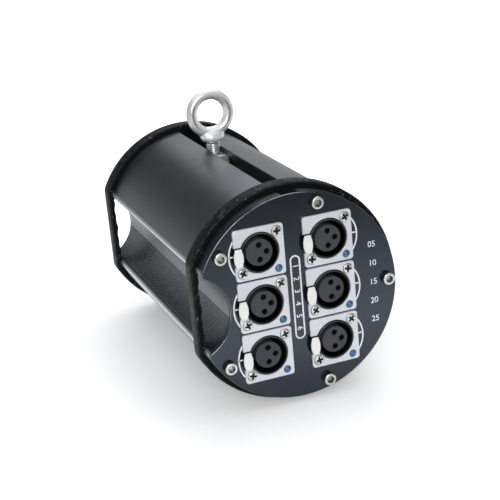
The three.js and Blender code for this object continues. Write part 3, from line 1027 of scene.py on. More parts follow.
class GeometryTree:
    """A geometry node tree with named inputs, baked into a plain mesh."""

    def __init__(self, name: str, inputs: dict[str, object]) -> None:
        """Start a tree.

        Args:
            name: The tree's name.
            inputs: Each input's default number, or the type of a socket that has none.
        """
        self.tree = bpy.data.node_groups.new(name, "GeometryNodeTree")
        self.keys = open_inputs(self.tree, {"Geometry": GEOMETRY, **inputs})
        self.tree.interface.new_socket("Geometry", in_out="OUTPUT", socket_type=GEOMETRY)
        self.board = NodeBoard(self.tree)
        self.given = self.board.add("NodeGroupInput").outputs

    def made(self, kind: str, inputs: dict, **settings: object) -> Socket:
        """Add a node and give its first output."""
        return self.board.add(f"GeometryNode{kind}", inputs, **settings).outputs[0]

    def laid_down(self, geometry: Socket) -> Socket:
        """Turn geometry that stands up so that it lies along the drum."""
        return self.made("Transform", {"Geometry": geometry, "Rotation": (QUARTER, 0.0, 0.0)})

    def end(self, geometry: Socket, finish: Finish, recess: Optional[Finish] = None) -> None:
        """Close the tree with real geometry and its material.

        Args:
            geometry: The geometry to put out.
            finish: The finish that it wears.
            recess: The finish of the faces marked as a recess, or None.
        """
        real = self.made("RealizeInstances", {"Geometry": geometry})
        dressed = self.made("SetMaterial", {"Geometry": real, "Material": finish.material()})
        if recess:
            marked = self.made("InputNamedAttribute", {"Name": RECESS}, data_type="BOOLEAN")
            where = {"Geometry": dressed, "Selection": marked, "Material": recess.material()}
            dressed = self.made("SetMaterial", where)
        self.board.add("NodeGroupOutput", {"Geometry": dressed})

    def bake(
        self, name: str, values: dict[str, object], start: Optional[bpy.types.Mesh] = None
    ) -> bpy.types.Mesh:
        """Run the tree on a mesh and give the result as a plain mesh.

        Args:
            name: The result's name.
            values: Values for the named inputs.
            start: The mesh that goes in, which is used up, or None for an empty one.

        Returns:
            The new mesh.
        """
        obj = linked(name, start or bpy.data.meshes.new(name))
        modifier = obj.modifiers.new(name, "NODES")
        modifier.node_group = self.tree
        for label, value in values.items():
            modifier[self.keys[label]] = value
        return evaluated_mesh(obj)


class RepeatTree(GeometryTree):
    """Sets one template on every point of a mesh."""

    def __init__(self, name: str, finish: Finish, recess: Finish) -> None:
        """Lay the tree.

        Args:
            name: The tree's name.
            finish: The finish that the copies wear.
            recess: The near-black finish down their recesses, which is painted shade.
        """
        super().__init__(name, {"Template": "NodeSocketObject", "Turn Step": 0.0, "Facing Turn": 0.0})
        self.finishes = (finish, recess)
        board, given = self.board, self.given
        info = board.add("GeometryNodeObjectInfo", {"Object": given["Template"], "As Instance": True})
        turn = board.math("MULTIPLY", self.made("InputIndex", {}), given["Turn Step"])
        spin = board.vector(Y=turn, Z=given["Facing Turn"])
        spots = {"Points": given["Geometry"], "Instance": info.outputs["Geometry"], "Rotation": spin}
        self.end(self.made("InstanceOnPoints", spots), finish, recess)

    def repeat(
        self, name: str, template: Shape, places: Sequence[Place], turn_step: float, facing: Facing,
        replaces: Sequence[str] = (),
    ) -> None:
        """Bake the copies into one piece.

        Args:
            name: The piece's name.
            template: The shape to copy, which is used up.
            places: Where the copies go, in millimetres from the drum's middle.
            turn_step: How far each copy is turned on from the one before, in radians.
            facing: The panel that they are on.
            replaces: The CAD nodes that the piece stands for.
        """
        model = template.loose_object(f"{name}_template")
        points = bpy.data.meshes.new(name)
        points.from_pydata(places, [], [])
        values = {"Template": model, "Turn Step": turn_step, "Facing Turn": facing.turn}
        mesh = self.bake(name, values, points)
        discard(model)
        Piece(name, self.finishes, replaces=replaces).of_bake(mesh)


class ExtrusionTree(GeometryTree):
    """Fills a closed section and draws it out along the drum."""

    def __init__(self, finish: Finish) -> None:
        """Lay the tree.

        Args:
            finish: The finish of the extrusion.
        """
        super().__init__("drum_extrusion", {"Length": 177.0})
        board, length = self.board, self.given["Length"]
        wire = self.made("MeshToCurve", {"Mesh": self.given["Geometry"]})
        shift = board.vector(Z=board.math("MULTIPLY", length, -0.5))
        section = self.made("FillCurve", {"Curve": wire})
        placed = self.made("Transform", {"Geometry": section, "Translation": shift})
        draw = {"Mesh": placed, "Offset": (0.0, 0.0, 1.0), "Offset Scale": length, "Individual": False}
        both = board.add("GeometryNodeJoinGeometry")
        for part in (self.made("ExtrudeMesh", draw), self.made("FlipFaces", {"Mesh": placed})):
            board.tree.links.new(part, both.inputs[0])
        self.end(self.laid_down(both.outputs[0]), finish)


class RibTree(GeometryTree):
    """Lays straight grip ribs side by side on the wall of the flute."""

    def __init__(self, finish: Finish) -> None:
        """Lay the tree.

        Args:
            finish: The finish of the ribs.
        """
        wall = {"Flute Radius": 21.7, "Flute Distance": 57.8, "First Angle": -0.9, "Sweep": 1.8}
        super().__init__("flute_grip_ribs", {**wall, "Ribs": 60, "Rib Radius": 0.22, "Length": 145.0})
        board, given = self.board, self.given
        curve = {"Resolution": given["Ribs"], "Radius": given["Flute Radius"]}
        curve |= {"Start Angle": given["First Angle"], "Sweep Angle": given["Sweep"]}
        shift = board.vector(X=board.math("MULTIPLY", given["Flute Distance"], -1.0))
        line = self.made("CurveArc", curve, mode="RADIUS")
        placed = self.made("Transform", {"Geometry": line, "Translation": shift})
        rib = {"Vertices": 8, "Radius": given["Rib Radius"], "Depth": given["Length"]}
        lying = self.laid_down(self.made("MeshCylinder", rib))
        spots = {"Points": self.laid_down(placed), "Instance": lying}
        self.end(self.made("InstanceOnPoints", spots), finish)


class ThreadTree(GeometryTree):
    """Winds the crest of a screw thread round a shank that points up."""

    def __init__(self, finish: Finish) -> None:
        """Lay the tree.

        Args:
            finish: The finish of the thread.
        """
        super().__init__("shank_thread", {"Radius": 3.6, "Pitch": 1.25, "Turns": 10.0, "Crest": 0.42})
        given = self.given
        helix = {"Resolution": 40, "Rotations": given["Turns"]}
        helix |= {"Start Radius": given["Radius"], "End Radius": given["Radius"]}
        helix["Height"] = self.board.math("MULTIPLY", given["Pitch"], given["Turns"])
        path = self.made("CurveSpiral", helix)
        round_wire = {"Resolution": 6, "Radius": given["Crest"]}
        crest = self.made("CurvePrimitiveCircle", round_wire, mode="RADIUS")
        wound_up = self.made("CurveToMesh", {"Curve": path, "Profile Curve": crest, "Fill Caps": True})
        self.end(wound_up, finish)


# The drum


@dataclass(frozen=True)
class Drum:
    """The extruded drum with its flute, slot and grip ribs."""

    node: str = "housing_extrusion"
    radius: float = 53.6
    wall: float = 2.5
    flute_radius: float = 21.7
    flute_distance: float = 57.8
    flute_steps: int = 56
    lip_radius: float = 2.5
    lip_steps: int = 18
    slot_half: float = 4.3
    slot_lip: float = 3.4
    slot_soft: float = 0.35
    slot_wall: float = 2.2
    chamber_half: float = 7.3
    chamber_depth: float = 6.6
    rib_pitch: float = 0.95
    rib_radius: float = 0.34
    rib_rise: float = 0.08
    rib_start: float = -1.02
    rib_sweep: float = 0.84
    rib_short: float = 0.2
    crest_angle: float = 8.0
    crest_width: float = 54.0
    crest_reach: float = 0.02

    def lip_centre(self) -> Point:
        """Give the centre of the upper lip's rounding."""
        reach, inner = self.radius - self.lip_radius, self.flute_radius + self.lip_radius
        return self.meeting(reach, inner)

    def meeting(self, reach: float, inner: float) -> Point:
        """Give the upper place that lies so far from the drum's axis and so far from the flute's."""
        x = (inner**2 - reach**2 - self.flute_distance**2) / (2 * self.flute_distance)
        return x, math.sqrt(reach**2 - x**2)

    def lips(self, margin: float = 0) -> list[list[Point]]:
        """Lay out the lower lip, the flute and the upper lip.

        Args:
            margin: How far the outline is moved outwards.

        Returns:
            The three runs of points.
        """
        x, z = self.lip_centre()
        outer, inner = math.atan2(z, x), math.atan2(z, x + self.flute_distance)
        lip, flute = self.lip_radius + margin, self.flute_radius - margin
        return [
            arc(x, -z, lip, -outer, -math.pi - inner, self.lip_steps),
            arc(-self.flute_distance, 0, flute, -inner, inner, self.flute_steps),
            arc(x, z, lip, math.pi + inner, outer, self.lip_steps),
        ]

    def section(self, margin: float = 0, steps: int = 200) -> list[Point]:
        """Lay out the drum's outline.

        Args:
            margin: How far the outline is moved outwards.
            steps: How many steps its round part has.

        Returns:
            The outline's points.
        """
        x, z = self.lip_centre()
        outer = math.atan2(z, x)
        return outline(arc(0, 0, self.radius + margin, outer, -outer, steps), *self.lips(margin))

    def slotted(self) -> list[Point]:
        """Lay out the drum's outline with the nut slot let into its top.

        Returns:
            The outline's points.
        """
        x, z = self.lip_centre()
        outer, edge = math.atan2(z, x), math.asin(self.slot_half / self.radius)
        ceiling = self.radius - self.slot_lip
        floor, mouth = ceiling - self.chamber_depth, self.radius * math.cos(edge)
        right = [
            (self.slot_half + self.slot_soft, mouth), (self.slot_half, mouth - self.slot_soft),
            (self.slot_half, ceiling), (self.chamber_half, ceiling), (self.chamber_half, floor),
        ]
        slot = [(-x, z) for x, z in right] + right[::-1]
        shy = edge + self.slot_soft / self.radius
        left_round = arc(0, 0, self.radius, outer, QUARTER + shy, 46)
        right_round = arc(0, 0, self.radius, QUARTER - shy, -outer, 150)
        return outline(left_round, slot, right_round, *self.lips())

    def bore(self) -> list[Point]:
        """Lay out the hollow inside the drum, clear of the flute's wall and the slot's chamber.

        Returns:
            The outline's points.
        """
        inside, flute = self.radius - self.wall, self.flute_radius + self.wall
        x, z = self.meeting(inside, flute)
        outer, inner = math.atan2(z, x), math.atan2(z, x + self.flute_distance)
        trunk = self.chamber_half + self.slot_wall
        floor = self.radius - self.slot_lip - self.chamber_depth - self.slot_wall
        edge = math.asin(trunk / inside)
        return outline(
            arc(0, 0, inside, outer, QUARTER + edge, 40),
            [(-trunk, floor), (trunk, floor)],
            arc(0, 0, inside, QUARTER - edge, -outer, 120),
            arc(-self.flute_distance, 0, flute, -inner, inner, 40),
        )

    def rubbed(self, place: Vector, facing: Vector) -> float:
        """Tell how much of the pale bare-metal colour a place on the drum takes: a painted highlight along
        the crest of each lip, drawn as rubbed metal.

        Args:
            place: A place on the drum's surface.
            facing: The way that the surface faces there; not used.

        Returns:
            0 where the finish is whole and 1 where the painted highlight is strongest.
        """
        x, z = self.lip_centre()
        off_x, off_z = place.x - x, abs(place.z) - z
        if abs(math.hypot(off_x, off_z) - self.lip_radius) > self.crest_reach:
            return 0.0
        off_crest = math.degrees(math.atan2(off_z, -off_x)) + self.crest_angle
        return max(0.0, 1.0 - (off_crest / self.crest_width) ** 2)

    def build(self) -> None:
        """Make the extrusion, and the fine ribs of the grip on the lower half of the flute."""
        near, far = along(self.node)
        verts, edges = [], []
        for loop in (self.slotted(), self.bore()):
            first, count = len(verts), len(loop)
            verts += [(x, z, 0.0) for x, z in loop]
            edges += [(first + i, first + (i + 1) % count) for i in range(count)]
        section = bpy.data.meshes.new("drum_section")
        section.from_pydata(verts, edges, [])
        mesh = ExtrusionTree(ANODISED).bake("drum_extrusion", {"Length": far - near}, section)
        # The lip crests take a painted highlight, drawn as bare rubbed metal.
        Piece("drum_extrusion", [ANODISED], replaces=[self.node], crease=30).of_bake(mesh, self.rubbed)
        values = {
            "Flute Radius": self.flute_radius + self.rib_rise, "Flute Distance": self.flute_distance,
            "First Angle": self.rib_start, "Sweep": self.rib_sweep, "Rib Radius": self.rib_radius,
            "Ribs": int(self.rib_sweep * self.flute_radius / self.rib_pitch),
            "Length": far - near - self.rib_short,
        }
        Piece("flute_grip_ribs", [RIBBED], crease=60).of_bake(RibTree(RIBBED).bake("flute_grip_ribs", values))


# Panels and bumpers


@dataclass(frozen=True)
class Bumper:
    """A rubber ring with a flat foot and a bar over the flute."""

    node: str
    radius: float = 57.0
    bar: float = 51.72
    bar_thickness: float = 3.5
    bar_wave: float = 0.42
    wave_rate: float = 0.62
    wave_start: float = 0.8
    swell_rate: float = 0.21
    bar_steps: int = 24
    corner: float = 8.0
    foot: float = 12.0
    edge: float = 1.1
    window: float = 19.3
    window_soft: float = 1.2
    flute_side: float = -30.0
    clearance: float = 0.05

    def build(self, drum: Drum) -> None:
        """Make the bumper round the drum.

        Args:
            drum: The drum that it goes round.
        """
        cx = self.corner - self.bar
        cz = math.sqrt((self.radius - self.corner) ** 2 - cx**2)
        turn, foot = math.atan2(cz, cx), math.asin(self.foot / 2 / self.radius)
        ring = outline(
            arc(0, 0, self.radius, turn, foot - QUARTER, 150),
            arc(0, 0, self.radius, -QUARTER - foot, -turn, 40),
            arc(cx, -cz, self.corner, -turn, -math.pi, 10),
            arc(cx, cz, self.corner, math.pi, turn, 10),
        )
        shape = Shape().prism(ring, *along(self.node), holes=[self.hole(drum)], bevel=self.edge, steps=4)
        Piece(self.node + "_moulding", [RUBBER], replaces=[self.node], crease=50).of_shape(shape)

    def hole(self, drum: Drum) -> list[Point]:
        """Lay out the hole that the drum and the fingers go through.

        Args:
            drum: The drum that fills it.

        Returns:
            The hole's outline.
        """
        body = drum.section(self.clearance, 160)
        kept = [p for p in body if not (p[0] < self.flute_side and abs(p[1]) < self.window)]
        lower = [p[0] < self.flute_side and p[1] < 0 for p in kept]
        first = max(range(len(kept)), key=lambda i: (lower[i], kept[i][1]))
        inner, soft = self.bar_thickness - self.bar, self.window_soft
        return outline(
            kept[first + 1 :] + kept[: first + 1],
            arc(inner + soft, soft - self.window, soft, -QUARTER, -math.pi, 5),
            self.bar_line(inner),
            arc(inner + soft, self.window - soft, soft, math.pi, QUARTER, 5),
        )

    def bar_line(self, inner: float) -> list[Point]:
        """Lay out the bar's inner face, which is a little uneven as cut rubber is.

        Args:
            inner: The face's x.

        Returns:
            Points from the bottom to the top.
        """
        reach = self.window - self.window_soft
        heights = [-reach + 2 * reach * i / self.bar_steps for i in range(1, self.bar_steps)]
        face = []
        for z in heights:
            ripple = math.sin(z * self.wave_rate + self.wave_start)
            face.append((inner + self.bar_wave * ripple * math.cos(z * self.swell_rate), z))
        return face


@dataclass(frozen=True)
class EndPanel:
    """The flat plate screwed to one end of the drum."""

    facing: Facing
    inset: float = 0.1
    chamfer: float = 0.35
    back_chamfer: float = 0.08
    port_radius: float = 2.0
    port_distance: float = 48.7
    port_angles: tuple[float, ...] = (0, 75, 144, 216, 285)

    @property
    def node(self) -> str:
        """Give the panel's CAD node."""
        return f"{self.facing.side}_panel"

    def ports(self) -> list[Point]:
        """Give the places of the panel's own screws."""
        turns = [math.radians(a) for a in self.port_angles]
        return [(self.port_distance * math.cos(a), self.port_distance * math.sin(a)) for a in turns]

    def build(self, drum: Drum, holes: Sequence[Outline]) -> None:
        """Make the panel.

        Args:
            drum: The drum whose outline the panel has.
            holes: The outlines of its cut-outs.
        """
        ports = [circle(x, z, self.port_radius, 24) for x, z in self.ports()]
        bevels = [self.chamfer, self.back_chamfer]
        if self.facing is Facing.REAR:
            bevels.reverse()
        shape = Shape().prism(
            drum.section(-self.inset), *along(self.node), [*holes, *ports], *bevels, steps=2, slots=(0, 1, 0)
        )
        Piece(self.node + "_plate", [PANEL, CUT_EDGE], replaces=[self.node], crease=30).of_shape(shape)


@dataclass(frozen=True)
class PanelScrews:
    """The socket-head screws that hold one panel on."""

    radius: float = 3.15
    height: float = 2.8
    shank_radius: float = 1.7
    shank: float = 6.0
    hexagon: float = 2.9
    depth: float = 2.0
    turn_step: float = 0.37
    seat_edge: float = 0.1
    head_edge: tuple[Point, ...] = ((0, 0.5), (0.09, 0.22), (0.26, 0.06), (0.45, 0))
    mouth_gap: float = 0.42
    mouth_edge: tuple[Point, ...] = ((0.2, 0.12), (0, 0.24))

    def template(self) -> Shape:
        """Make one screw, its seat at y 0 and its head towards low y.

        Returns:
            The screw.
        """
        top, radius, flats = -self.height, self.radius, self.hexagon
        rounds = [
            (self.shank_radius, self.shank), (self.shank_radius, 0.0),
            (radius - self.seat_edge, 0.0), (radius, -self.seat_edge),
            *((radius - inset, top + drop) for inset, drop in self.head_edge),
            (flats / 2 + self.mouth_gap, top),
        ]
        hexagons = [(flats + wider, top + drop) for wider, drop in self.mouth_edge]
        hexagons.append((flats, top + self.depth))
        levels = [(round_reach(r), y) for r, y in rounds] + [(hexagon_reach(w), y) for w, y in hexagons]
        # The shank, the underside and the side of the head take the near-black finish as painted shade, as
        # does the hex recess; the recess floor keeps the bright steel.
        return Shape().loft(levels, 48, recess_from=8, shaded_until=4, floor_slot=0)

    def build(self, panel: EndPanel) -> None:
        """Set the screws round a panel.

        Args:
            panel: The panel that they hold.
        """
        facing = panel.facing
        nodes = [f"{panel.node}_screw_{i}" for i in range(1, len(panel.port_angles) + 1)]
        seat = facing.face(nodes[0]) + facing.value * self.height
        places = [(x, seat, z) for x, z in panel.ports()]
        tree = RepeatTree(f"{facing.side}_screw_copies", SCREW_STEEL, PAINTED_SHADE_STEEL)
        tree.repeat(f"{facing.side}_panel_screws", self.template(), places, self.turn_step, facing, nodes)


# Sockets


@dataclass(frozen=True)
class PanelSocket:
    """A round three-pole socket on a square plate."""

    prefix: str
    facing: Facing
    has_latch: bool = True
    has_lamp: bool = True
    has_pins: bool = False
    plate: float = 26.0
    plate_thickness: float = 1.5
    corner: float = 1.6
    gap: float = 0.22
    shell_radius: float = 10.2
    shell_bore: float = 9.2
    shell_depth: float = 24.0
    insert_radius: float = 6.85
    insert_recess: float = 0.4
    contact_circle: float = 3.75
    contact_bore: float = 1.38
    pin_radius: float = 1.15
    pin_floor: float = 14.0
    latch_x: float = -11.3
    latch_z: float = -0.6
    latch_width: float = 4.9
    latch_height: float = 9.2
    latch_straight: float = 0.26
    latch_end: float = 0.6
    latch_gap: float = 0.3
    lamp: Point = (9.3, -9.9)
    lamp_radius: float = 1.75
    lamp_rise: float = 0.88
    screws: tuple[Point, ...] = ((9.5, 9.3), (-9.4, -9.1))
    screw_hole: float = 2.68
    screw_seat: float = 1.1
    hole_gap: float = 0.25
    plate_edge: float = 0.22
    hidden_edge: float = 0.05
    shell_ridge: tuple[Point, ...] = (
        (0, 0.1), (0.1, -0.16), (0.3, -0.2), (0.42, -0.42), (0.54, -0.47), (0.66, -0.42),
    )
    shell_rim: tuple[Point, ...] = ((0.18, -0.2), (0.05, -0.1), (0, 0.1))
    contact_sleeve: tuple[Point, ...] = ((1.25, 6.5), (0.9, 6.5), (0.9, 14), (1.25, 14))
    pin_base: tuple[Point, ...] = ((0, 10.7), (8.5, 10.7), (8.75, 10.95), (8.75, 13.6), (0, 13.6))
    pin_tip: tuple[Point, ...] = ((0, 0.75), (0.5, 0.8), (0.9, 1.1))
    pin_span: Point = (1.7, 10.9)
    cap_span: Point = (-1.79, -0.9)
    cap_edge: float = 0.45
    rim_span: Point = (-0.92, -0.3)
    rim_inset: float = 0.12
    stem_span: Point = (-0.4, 8.6)
    stem_size: Point = (1.6, 5.0)
    lamp_gap: float = 0.2
    lamp_end: float = 5.6

    def origin(self) -> Place:
        """Give the middle of the plate's face."""
        x, z = across(self.prefix + "_flange")
        return x, self.facing.face(self.prefix + "_flange"), z

    def shape(self) -> Shape:
        """Start a shape at the middle of the plate's face."""
        return Shape(*self.origin(), self.facing)

    def panel_hole(self) -> list[Point]:
        """Lay out the hole that the socket needs in its panel."""
        x, _, z = self.origin()
        return circle(x, z, self.shell_radius + self.hole_gap, 40)

    def latch_outline(self, margin: float) -> list[Point]:
        """Lay out the latch button, which narrows towards both ends.

        Args:
            margin: How far the outline is moved outwards.

        Returns:
            The outline's points.
        """
        top, side = self.latch_height / 2 + margin, self.latch_width / 2 + margin
        shoulder, end = self.latch_straight * top, self.latch_end * side
        right = [(side, shoulder), (side * 0.94, shoulder + 0.16 * top), (end * 1.12, top * 0.95), (end, top)]
        left = [(-x, z) for x, z in reversed(right)]
        below = [(x, -z) for x, z in (*reversed(left), *reversed(right))]
        return outline([(self.latch_x + x, self.latch_z + z) for x, z in (*right, *left, *below)])

    def plate_outline(self) -> list[Point]:
        """Lay out the plate, open towards the latch where the socket has one.

        Returns:
            The outline's points.
        """
        half, corner = self.plate / 2, self.corner
        inner = half - corner
        places = enumerate(((inner, -inner), (inner, inner), (-inner, inner), (-inner, -inner)), -1)
        *box, last = [arc(x, z, corner, i * QUARTER, (i + 1) * QUARTER, 6) for i, (x, z) in places]
        if not self.has_latch:
            return outline(*box, last)
        reach, open_half = self.shell_radius + self.gap, self.latch_height / 2 + self.latch_gap
        top, bottom = self.latch_z + open_half, self.latch_z - open_half
        high, low = math.pi - math.asin(top / reach), -math.pi - math.asin(bottom / reach)
        return outline(*box, [(-half, top)], arc(0, 0, reach, high, low, 72), [(-half, bottom)], last)

    def plate_holes(self) -> list[list[Point]]:
        """Lay out the holes in the plate.

        Returns:
            The holes' outlines.
        """
        holes = [circle(x, z, self.screw_hole, 28) for x, z in self.screws]
        if not self.has_latch:
            holes.append(circle(0, 0, self.shell_radius + self.gap, 72))
        if self.has_lamp:
            holes.append(circle(*self.lamp, self.lamp_radius + self.lamp_gap, 32))
        return holes

    def contacts(self) -> list[Point]:
        """Give the places of the three contacts."""
        return [(0, self.contact_circle), (self.contact_circle, 0), (0, -self.contact_circle)]

    def build(self) -> None:
        """Make the socket's pieces."""
        self.build_plate()
        self.build_shell()
        if self.has_pins:
            self.build_pins()
        else:
            self.build_insert()
        if self.has_latch:
            self.build_latch()
        if self.has_lamp:
            self.build_lamp()

    def build_plate(self) -> None:
        """Make the square plate, with a dark seat behind each screw."""
        thick, node = self.plate_thickness, self.prefix + "_flange"
        shape = self.shape().prism(
            self.plate_outline(), 0, thick, self.plate_holes(), self.plate_edge, self.hidden_edge, steps=2
        )
        for x, z in self.screws:
            shape.prism(circle(x, z, self.screw_hole, 28), self.screw_seat, thick, slots=(1, 1, 1))
        Piece(self.prefix + "_plate", [PLATE, MOULDING], replaces=[node], crease=30).of_shape(shape)

    def build_shell(self) -> None:
        """Make the black shell with its raised rim."""
        outer, inner, deep = self.shell_radius, self.shell_bore, self.shell_depth
        floor = self.pin_floor if self.has_pins else deep - 2
        bore = [(0, floor), (inner - 0.3, floor), (inner, floor - 0.3)]
        ridge = [(inner + out, y) for out, y in self.shell_ridge]
        rim = [(outer - inset, y) for inset, y in self.shell_rim]
        profile = [*bore, *ridge, *rim, (outer, deep - 0.4), (outer - 0.4, deep), (0, deep)]
        # The ridge's crest takes the moulding's paler worn colour as a painted highlight.
        shape = self.shape().turned(profile, steps=96, worn=(6, 7, 8))
        if self.has_latch:
            shape.cut(Shape().prism(self.latch_outline(self.hole_gap), -2, 1.8))
        name, node = self.prefix + "_shell_moulding", self.prefix + "_shell"
        Piece(name, [MOULDING], replaces=[node], crease=34).of_shape(shape)

    def build_insert(self) -> None:
        """Make the insert with its contacts down the three holes."""
        holes = [circle(x, z, self.contact_bore, 28) for x, z in self.contacts()]
        # The holes' walls take the near-black finish as painted shade.
        shape = self.shape().prism(
            circle(0, 0, self.insert_radius, 72), self.insert_recess, self.shell_depth - 2.2, holes,
            bevel=0.2, far_bevel=0.1, slots=(0, 0, 2),
        )
        for place in self.contacts():
            shape.turned(self.contact_sleeve, place, steps=20, slot=1)
        finishes, node = [INSULATOR, CONTACT, PAINTED_SHADE_STEEL], self.prefix + "_insert"
        Piece(node + "_face", finishes, replaces=[node]).of_shape(shape)

    def build_pins(self) -> None:
        """Make the base and the three pins of a plug-type socket."""
        shape = self.shape().turned(self.pin_base, steps=64)
        start, end = self.pin_span
        profile = [*self.pin_tip, (self.pin_radius, start), (self.pin_radius, end), (0, end)]
        for place in self.contacts():
            shape.turned(profile, place, steps=24, slot=1)
        pins = Piece(self.prefix + "_pin_base", [INSULATOR, CONTACT], replaces=[self.prefix + "_pins"])
        pins.of_shape(shape)

    def build_latch(self) -> None:
        """Make the push latch: its pale cap, the rim under it and its stem."""
        cap, rim = self.latch_outline(0), self.latch_outline(-self.rim_inset)
        stem = rounded_box(self.latch_x, self.latch_z, *self.stem_size, 0.2, 2)
        shape = self.shape().prism(
            cap, *self.cap_span, bevel=self.cap_edge, far_bevel=self.hidden_edge, steps=5
        )
        shape.prism(rim, *self.rim_span, far_bevel=0.1, slots=(1, 1, 1))
        shape.prism(stem, *self.stem_span, slots=(1, 1, 1))
        body = self.prefix + "_latch"
        Piece(body + "_button", [LATCH, MOULDING], body, [body], crease=42).of_shape(shape)

    def build_lamp(self) -> None:
        """Make the indicator lamp, a domed lens on a round body."""
        radius, rise = self.lamp_radius, self.lamp_rise
        turns = [i * math.pi / 16 for i in range(1, 9)]
        dome = [(0, -rise)] + [(radius * math.sin(a), -rise * math.cos(a)) for a in turns]
        profile = [*dome, (radius, self.lamp_end), (0, self.lamp_end)]
        shape = self.shape().turned(profile, self.lamp, steps=36)
        Piece(self.prefix + "_lamp", [LENS], replaces=[self.prefix + "_led"], crease=50).of_shape(shape)


@dataclass(frozen=True)
class PlateScrews:
    """The small cross-head screws in the corners of the socket plates."""

    radius: float = 2.4
    rise: float = 0.42
    arm: float = 1.8
    blade: float = 0.5
    turn_step: float = 0.55
    underside: tuple[Point, ...] = ((0.5, 1.05), (0.1, 0.7), (0, 0.6))
    head_edge: tuple[Point, ...] = ((0, 0.3), (0.14, 0.1), (0.34, 0))
    cross_levels: tuple[Place, ...] = ((0.08, 0.08, 0), (0, 0, 0.12), (-0.25, -0.08, 1.0))

    def template(self) -> Shape:
        """Make one screw, with the plate's face at y 0.

        Returns:
            The screw.
        """
        top, radius, arm, blade = -self.rise, self.radius, self.arm, self.blade
        rounds = [(radius - inset, y) for inset, y in self.underside]
        rounds += [(radius - inset, top + drop) for inset, drop in self.head_edge]
        crosses = [(arm + longer, blade + wider, top + drop) for longer, wider, drop in self.cross_levels]
        levels = [(round_reach(r), y) for r, y in rounds] + [(cross_reach(a, b), y) for a, b, y in crosses]
        # The cross recess and its floor take the near-black finish as painted shade.
        return Shape().loft(levels, 96, recess_from=6)

    def build(self, sockets: Sequence[PanelSocket], facing: Facing) -> None:
        """Set the screws in the plates of one panel.

        Args:
            sockets: The sockets on the panel.
            facing: The panel.
        """
        places = []
        for socket in sockets:
            x, y, z = socket.origin()
            places += [(x + facing.value * px, y, z + pz) for px, pz in socket.screws]
        tree = RepeatTree(f"{facing.side}_plate_screw_copies", SCREW_STEEL, PAINTED_SHADE_STEEL)
        tree.repeat(f"{facing.side}_plate_screws", self.template(), places, self.turn_step, facing)


# Print


@dataclass
class Lettering:
    """Plain figures and lines printed on the front panel."""

    thickness: float = 0.05
    sunk: float = 0.02
    line: float = 0.78
    bow_start: float = 12.9
    left_bow: Place = (15.8, 9.0, -1.1)
    right_bow: Place = (16.6, 9.6, -0.7)
    tick: Place = (14.4, -0.2, 0.2)
    tick_size: Point = (2.4, 0.75)
    frame_x: float = -0.7
    frame_size: Point = (5.5, 44.4)
    count_top: float = 16.5
    count_step: float = 6.6
    count_size: float = 3.1
    scale_x: float = 41
    scale_heights: tuple[float, ...] = (19.4, 9.4, -0.6, -10.6, -20.6)
    scale_size: float = 3.2
    em: float = 1.35
    boldness: float = 0.035
    shape: Shape = field(default_factory=Shape)

    @property
    def face(self) -> float:
        """Give the y of the panel's face."""
        return along("front_panel")[0]

    def flat(self, points: Outline, holes: Sequence[Outline] = ()) -> None:
        """Print a flat figure."""
        self.shape.prism(points, self.face - self.thickness, self.face + self.sunk, holes)

    def bow(self, x: float, z: float, side: int) -> None:
        """Print the bow beside a socket's plate.

        Args:
            x: The socket's x.
            z: The socket's z.
            side: -1 on its left and 1 on its right.
        """
        reach, half_height, lift = self.right_bow if side > 0 else self.left_bow
        sagitta = reach - self.bow_start
        radius = (half_height**2 + sagitta**2) / (2 * sagitta)
        half = math.asin(half_height / radius)
        outer = arc(radius - reach, lift, radius, math.pi - half, math.pi + half, 32)
        inner = arc(radius - reach, lift, radius - self.line, math.pi + half, math.pi - half, 32)
        self.flat([(x - side * px, z + pz) for px, pz in outline(outer, inner)])

    def stadium(self, width: float, height: float) -> list[Point]:
        """Lay out a long shape with round ends."""
        return rounded_box(self.frame_x, 0, width, height, width / 2 - 0.01, 12)

    def figure(self, text: str, x: float, z: float, size: float, turn: float = 0) -> None:
        """Print plain figures.

        Args:
            text: The figures.
            x: Their middle's x.
            z: Their middle's z.
            size: Their height.
            turn: Their turn on the panel, in radians.
        """
        curve = bpy.data.curves.new("figure", "FONT")
        curve.body = text
        curve.size = size * self.em
        curve.align_x = "CENTER"
        curve.align_y = "CENTER"
        curve.extrude = self.thickness
        curve.resolution_u = 4
        curve.offset = self.boldness
        mesh = evaluated_mesh(linked("figure", curve))
        place = Matrix.Translation((x, self.face, z)) @ Matrix.Rotation(turn, 4, "Y")
        mesh.transform(place @ Matrix.Rotation(QUARTER, 4, "X"))
        self.shape.take(mesh)

    def build(self, sockets: Sequence[PanelSocket]) -> None:
        """Print everything on the front panel.

        Args:
            sockets: The six outputs.
        """
        out, lift, corner = self.tick
        for index, socket in enumerate(sockets):
            side = 1 if index % 2 else -1
            x, _, z = socket.origin()
            self.bow(x, z, side)
            self.flat(rounded_box(x + side * out, z + lift, *self.tick_size, corner, 3))
        width, height = self.frame_size
        self.flat(self.stadium(width, height), [self.stadium(width - 2 * self.line, height - 2 * self.line)])
        for i in range(6):
            z = self.count_top - self.count_step * i
            self.figure(str(i + 1), self.frame_x, z, self.count_size, turn=QUARTER)
        for i, z in enumerate(self.scale_heights):
            self.figure(f"{5 * (i + 1):02d}", self.scale_x, z, self.scale_size)
        Piece("panel_print", [PRINT], crease=30).of_shape(self.shape)


# Eye bolt


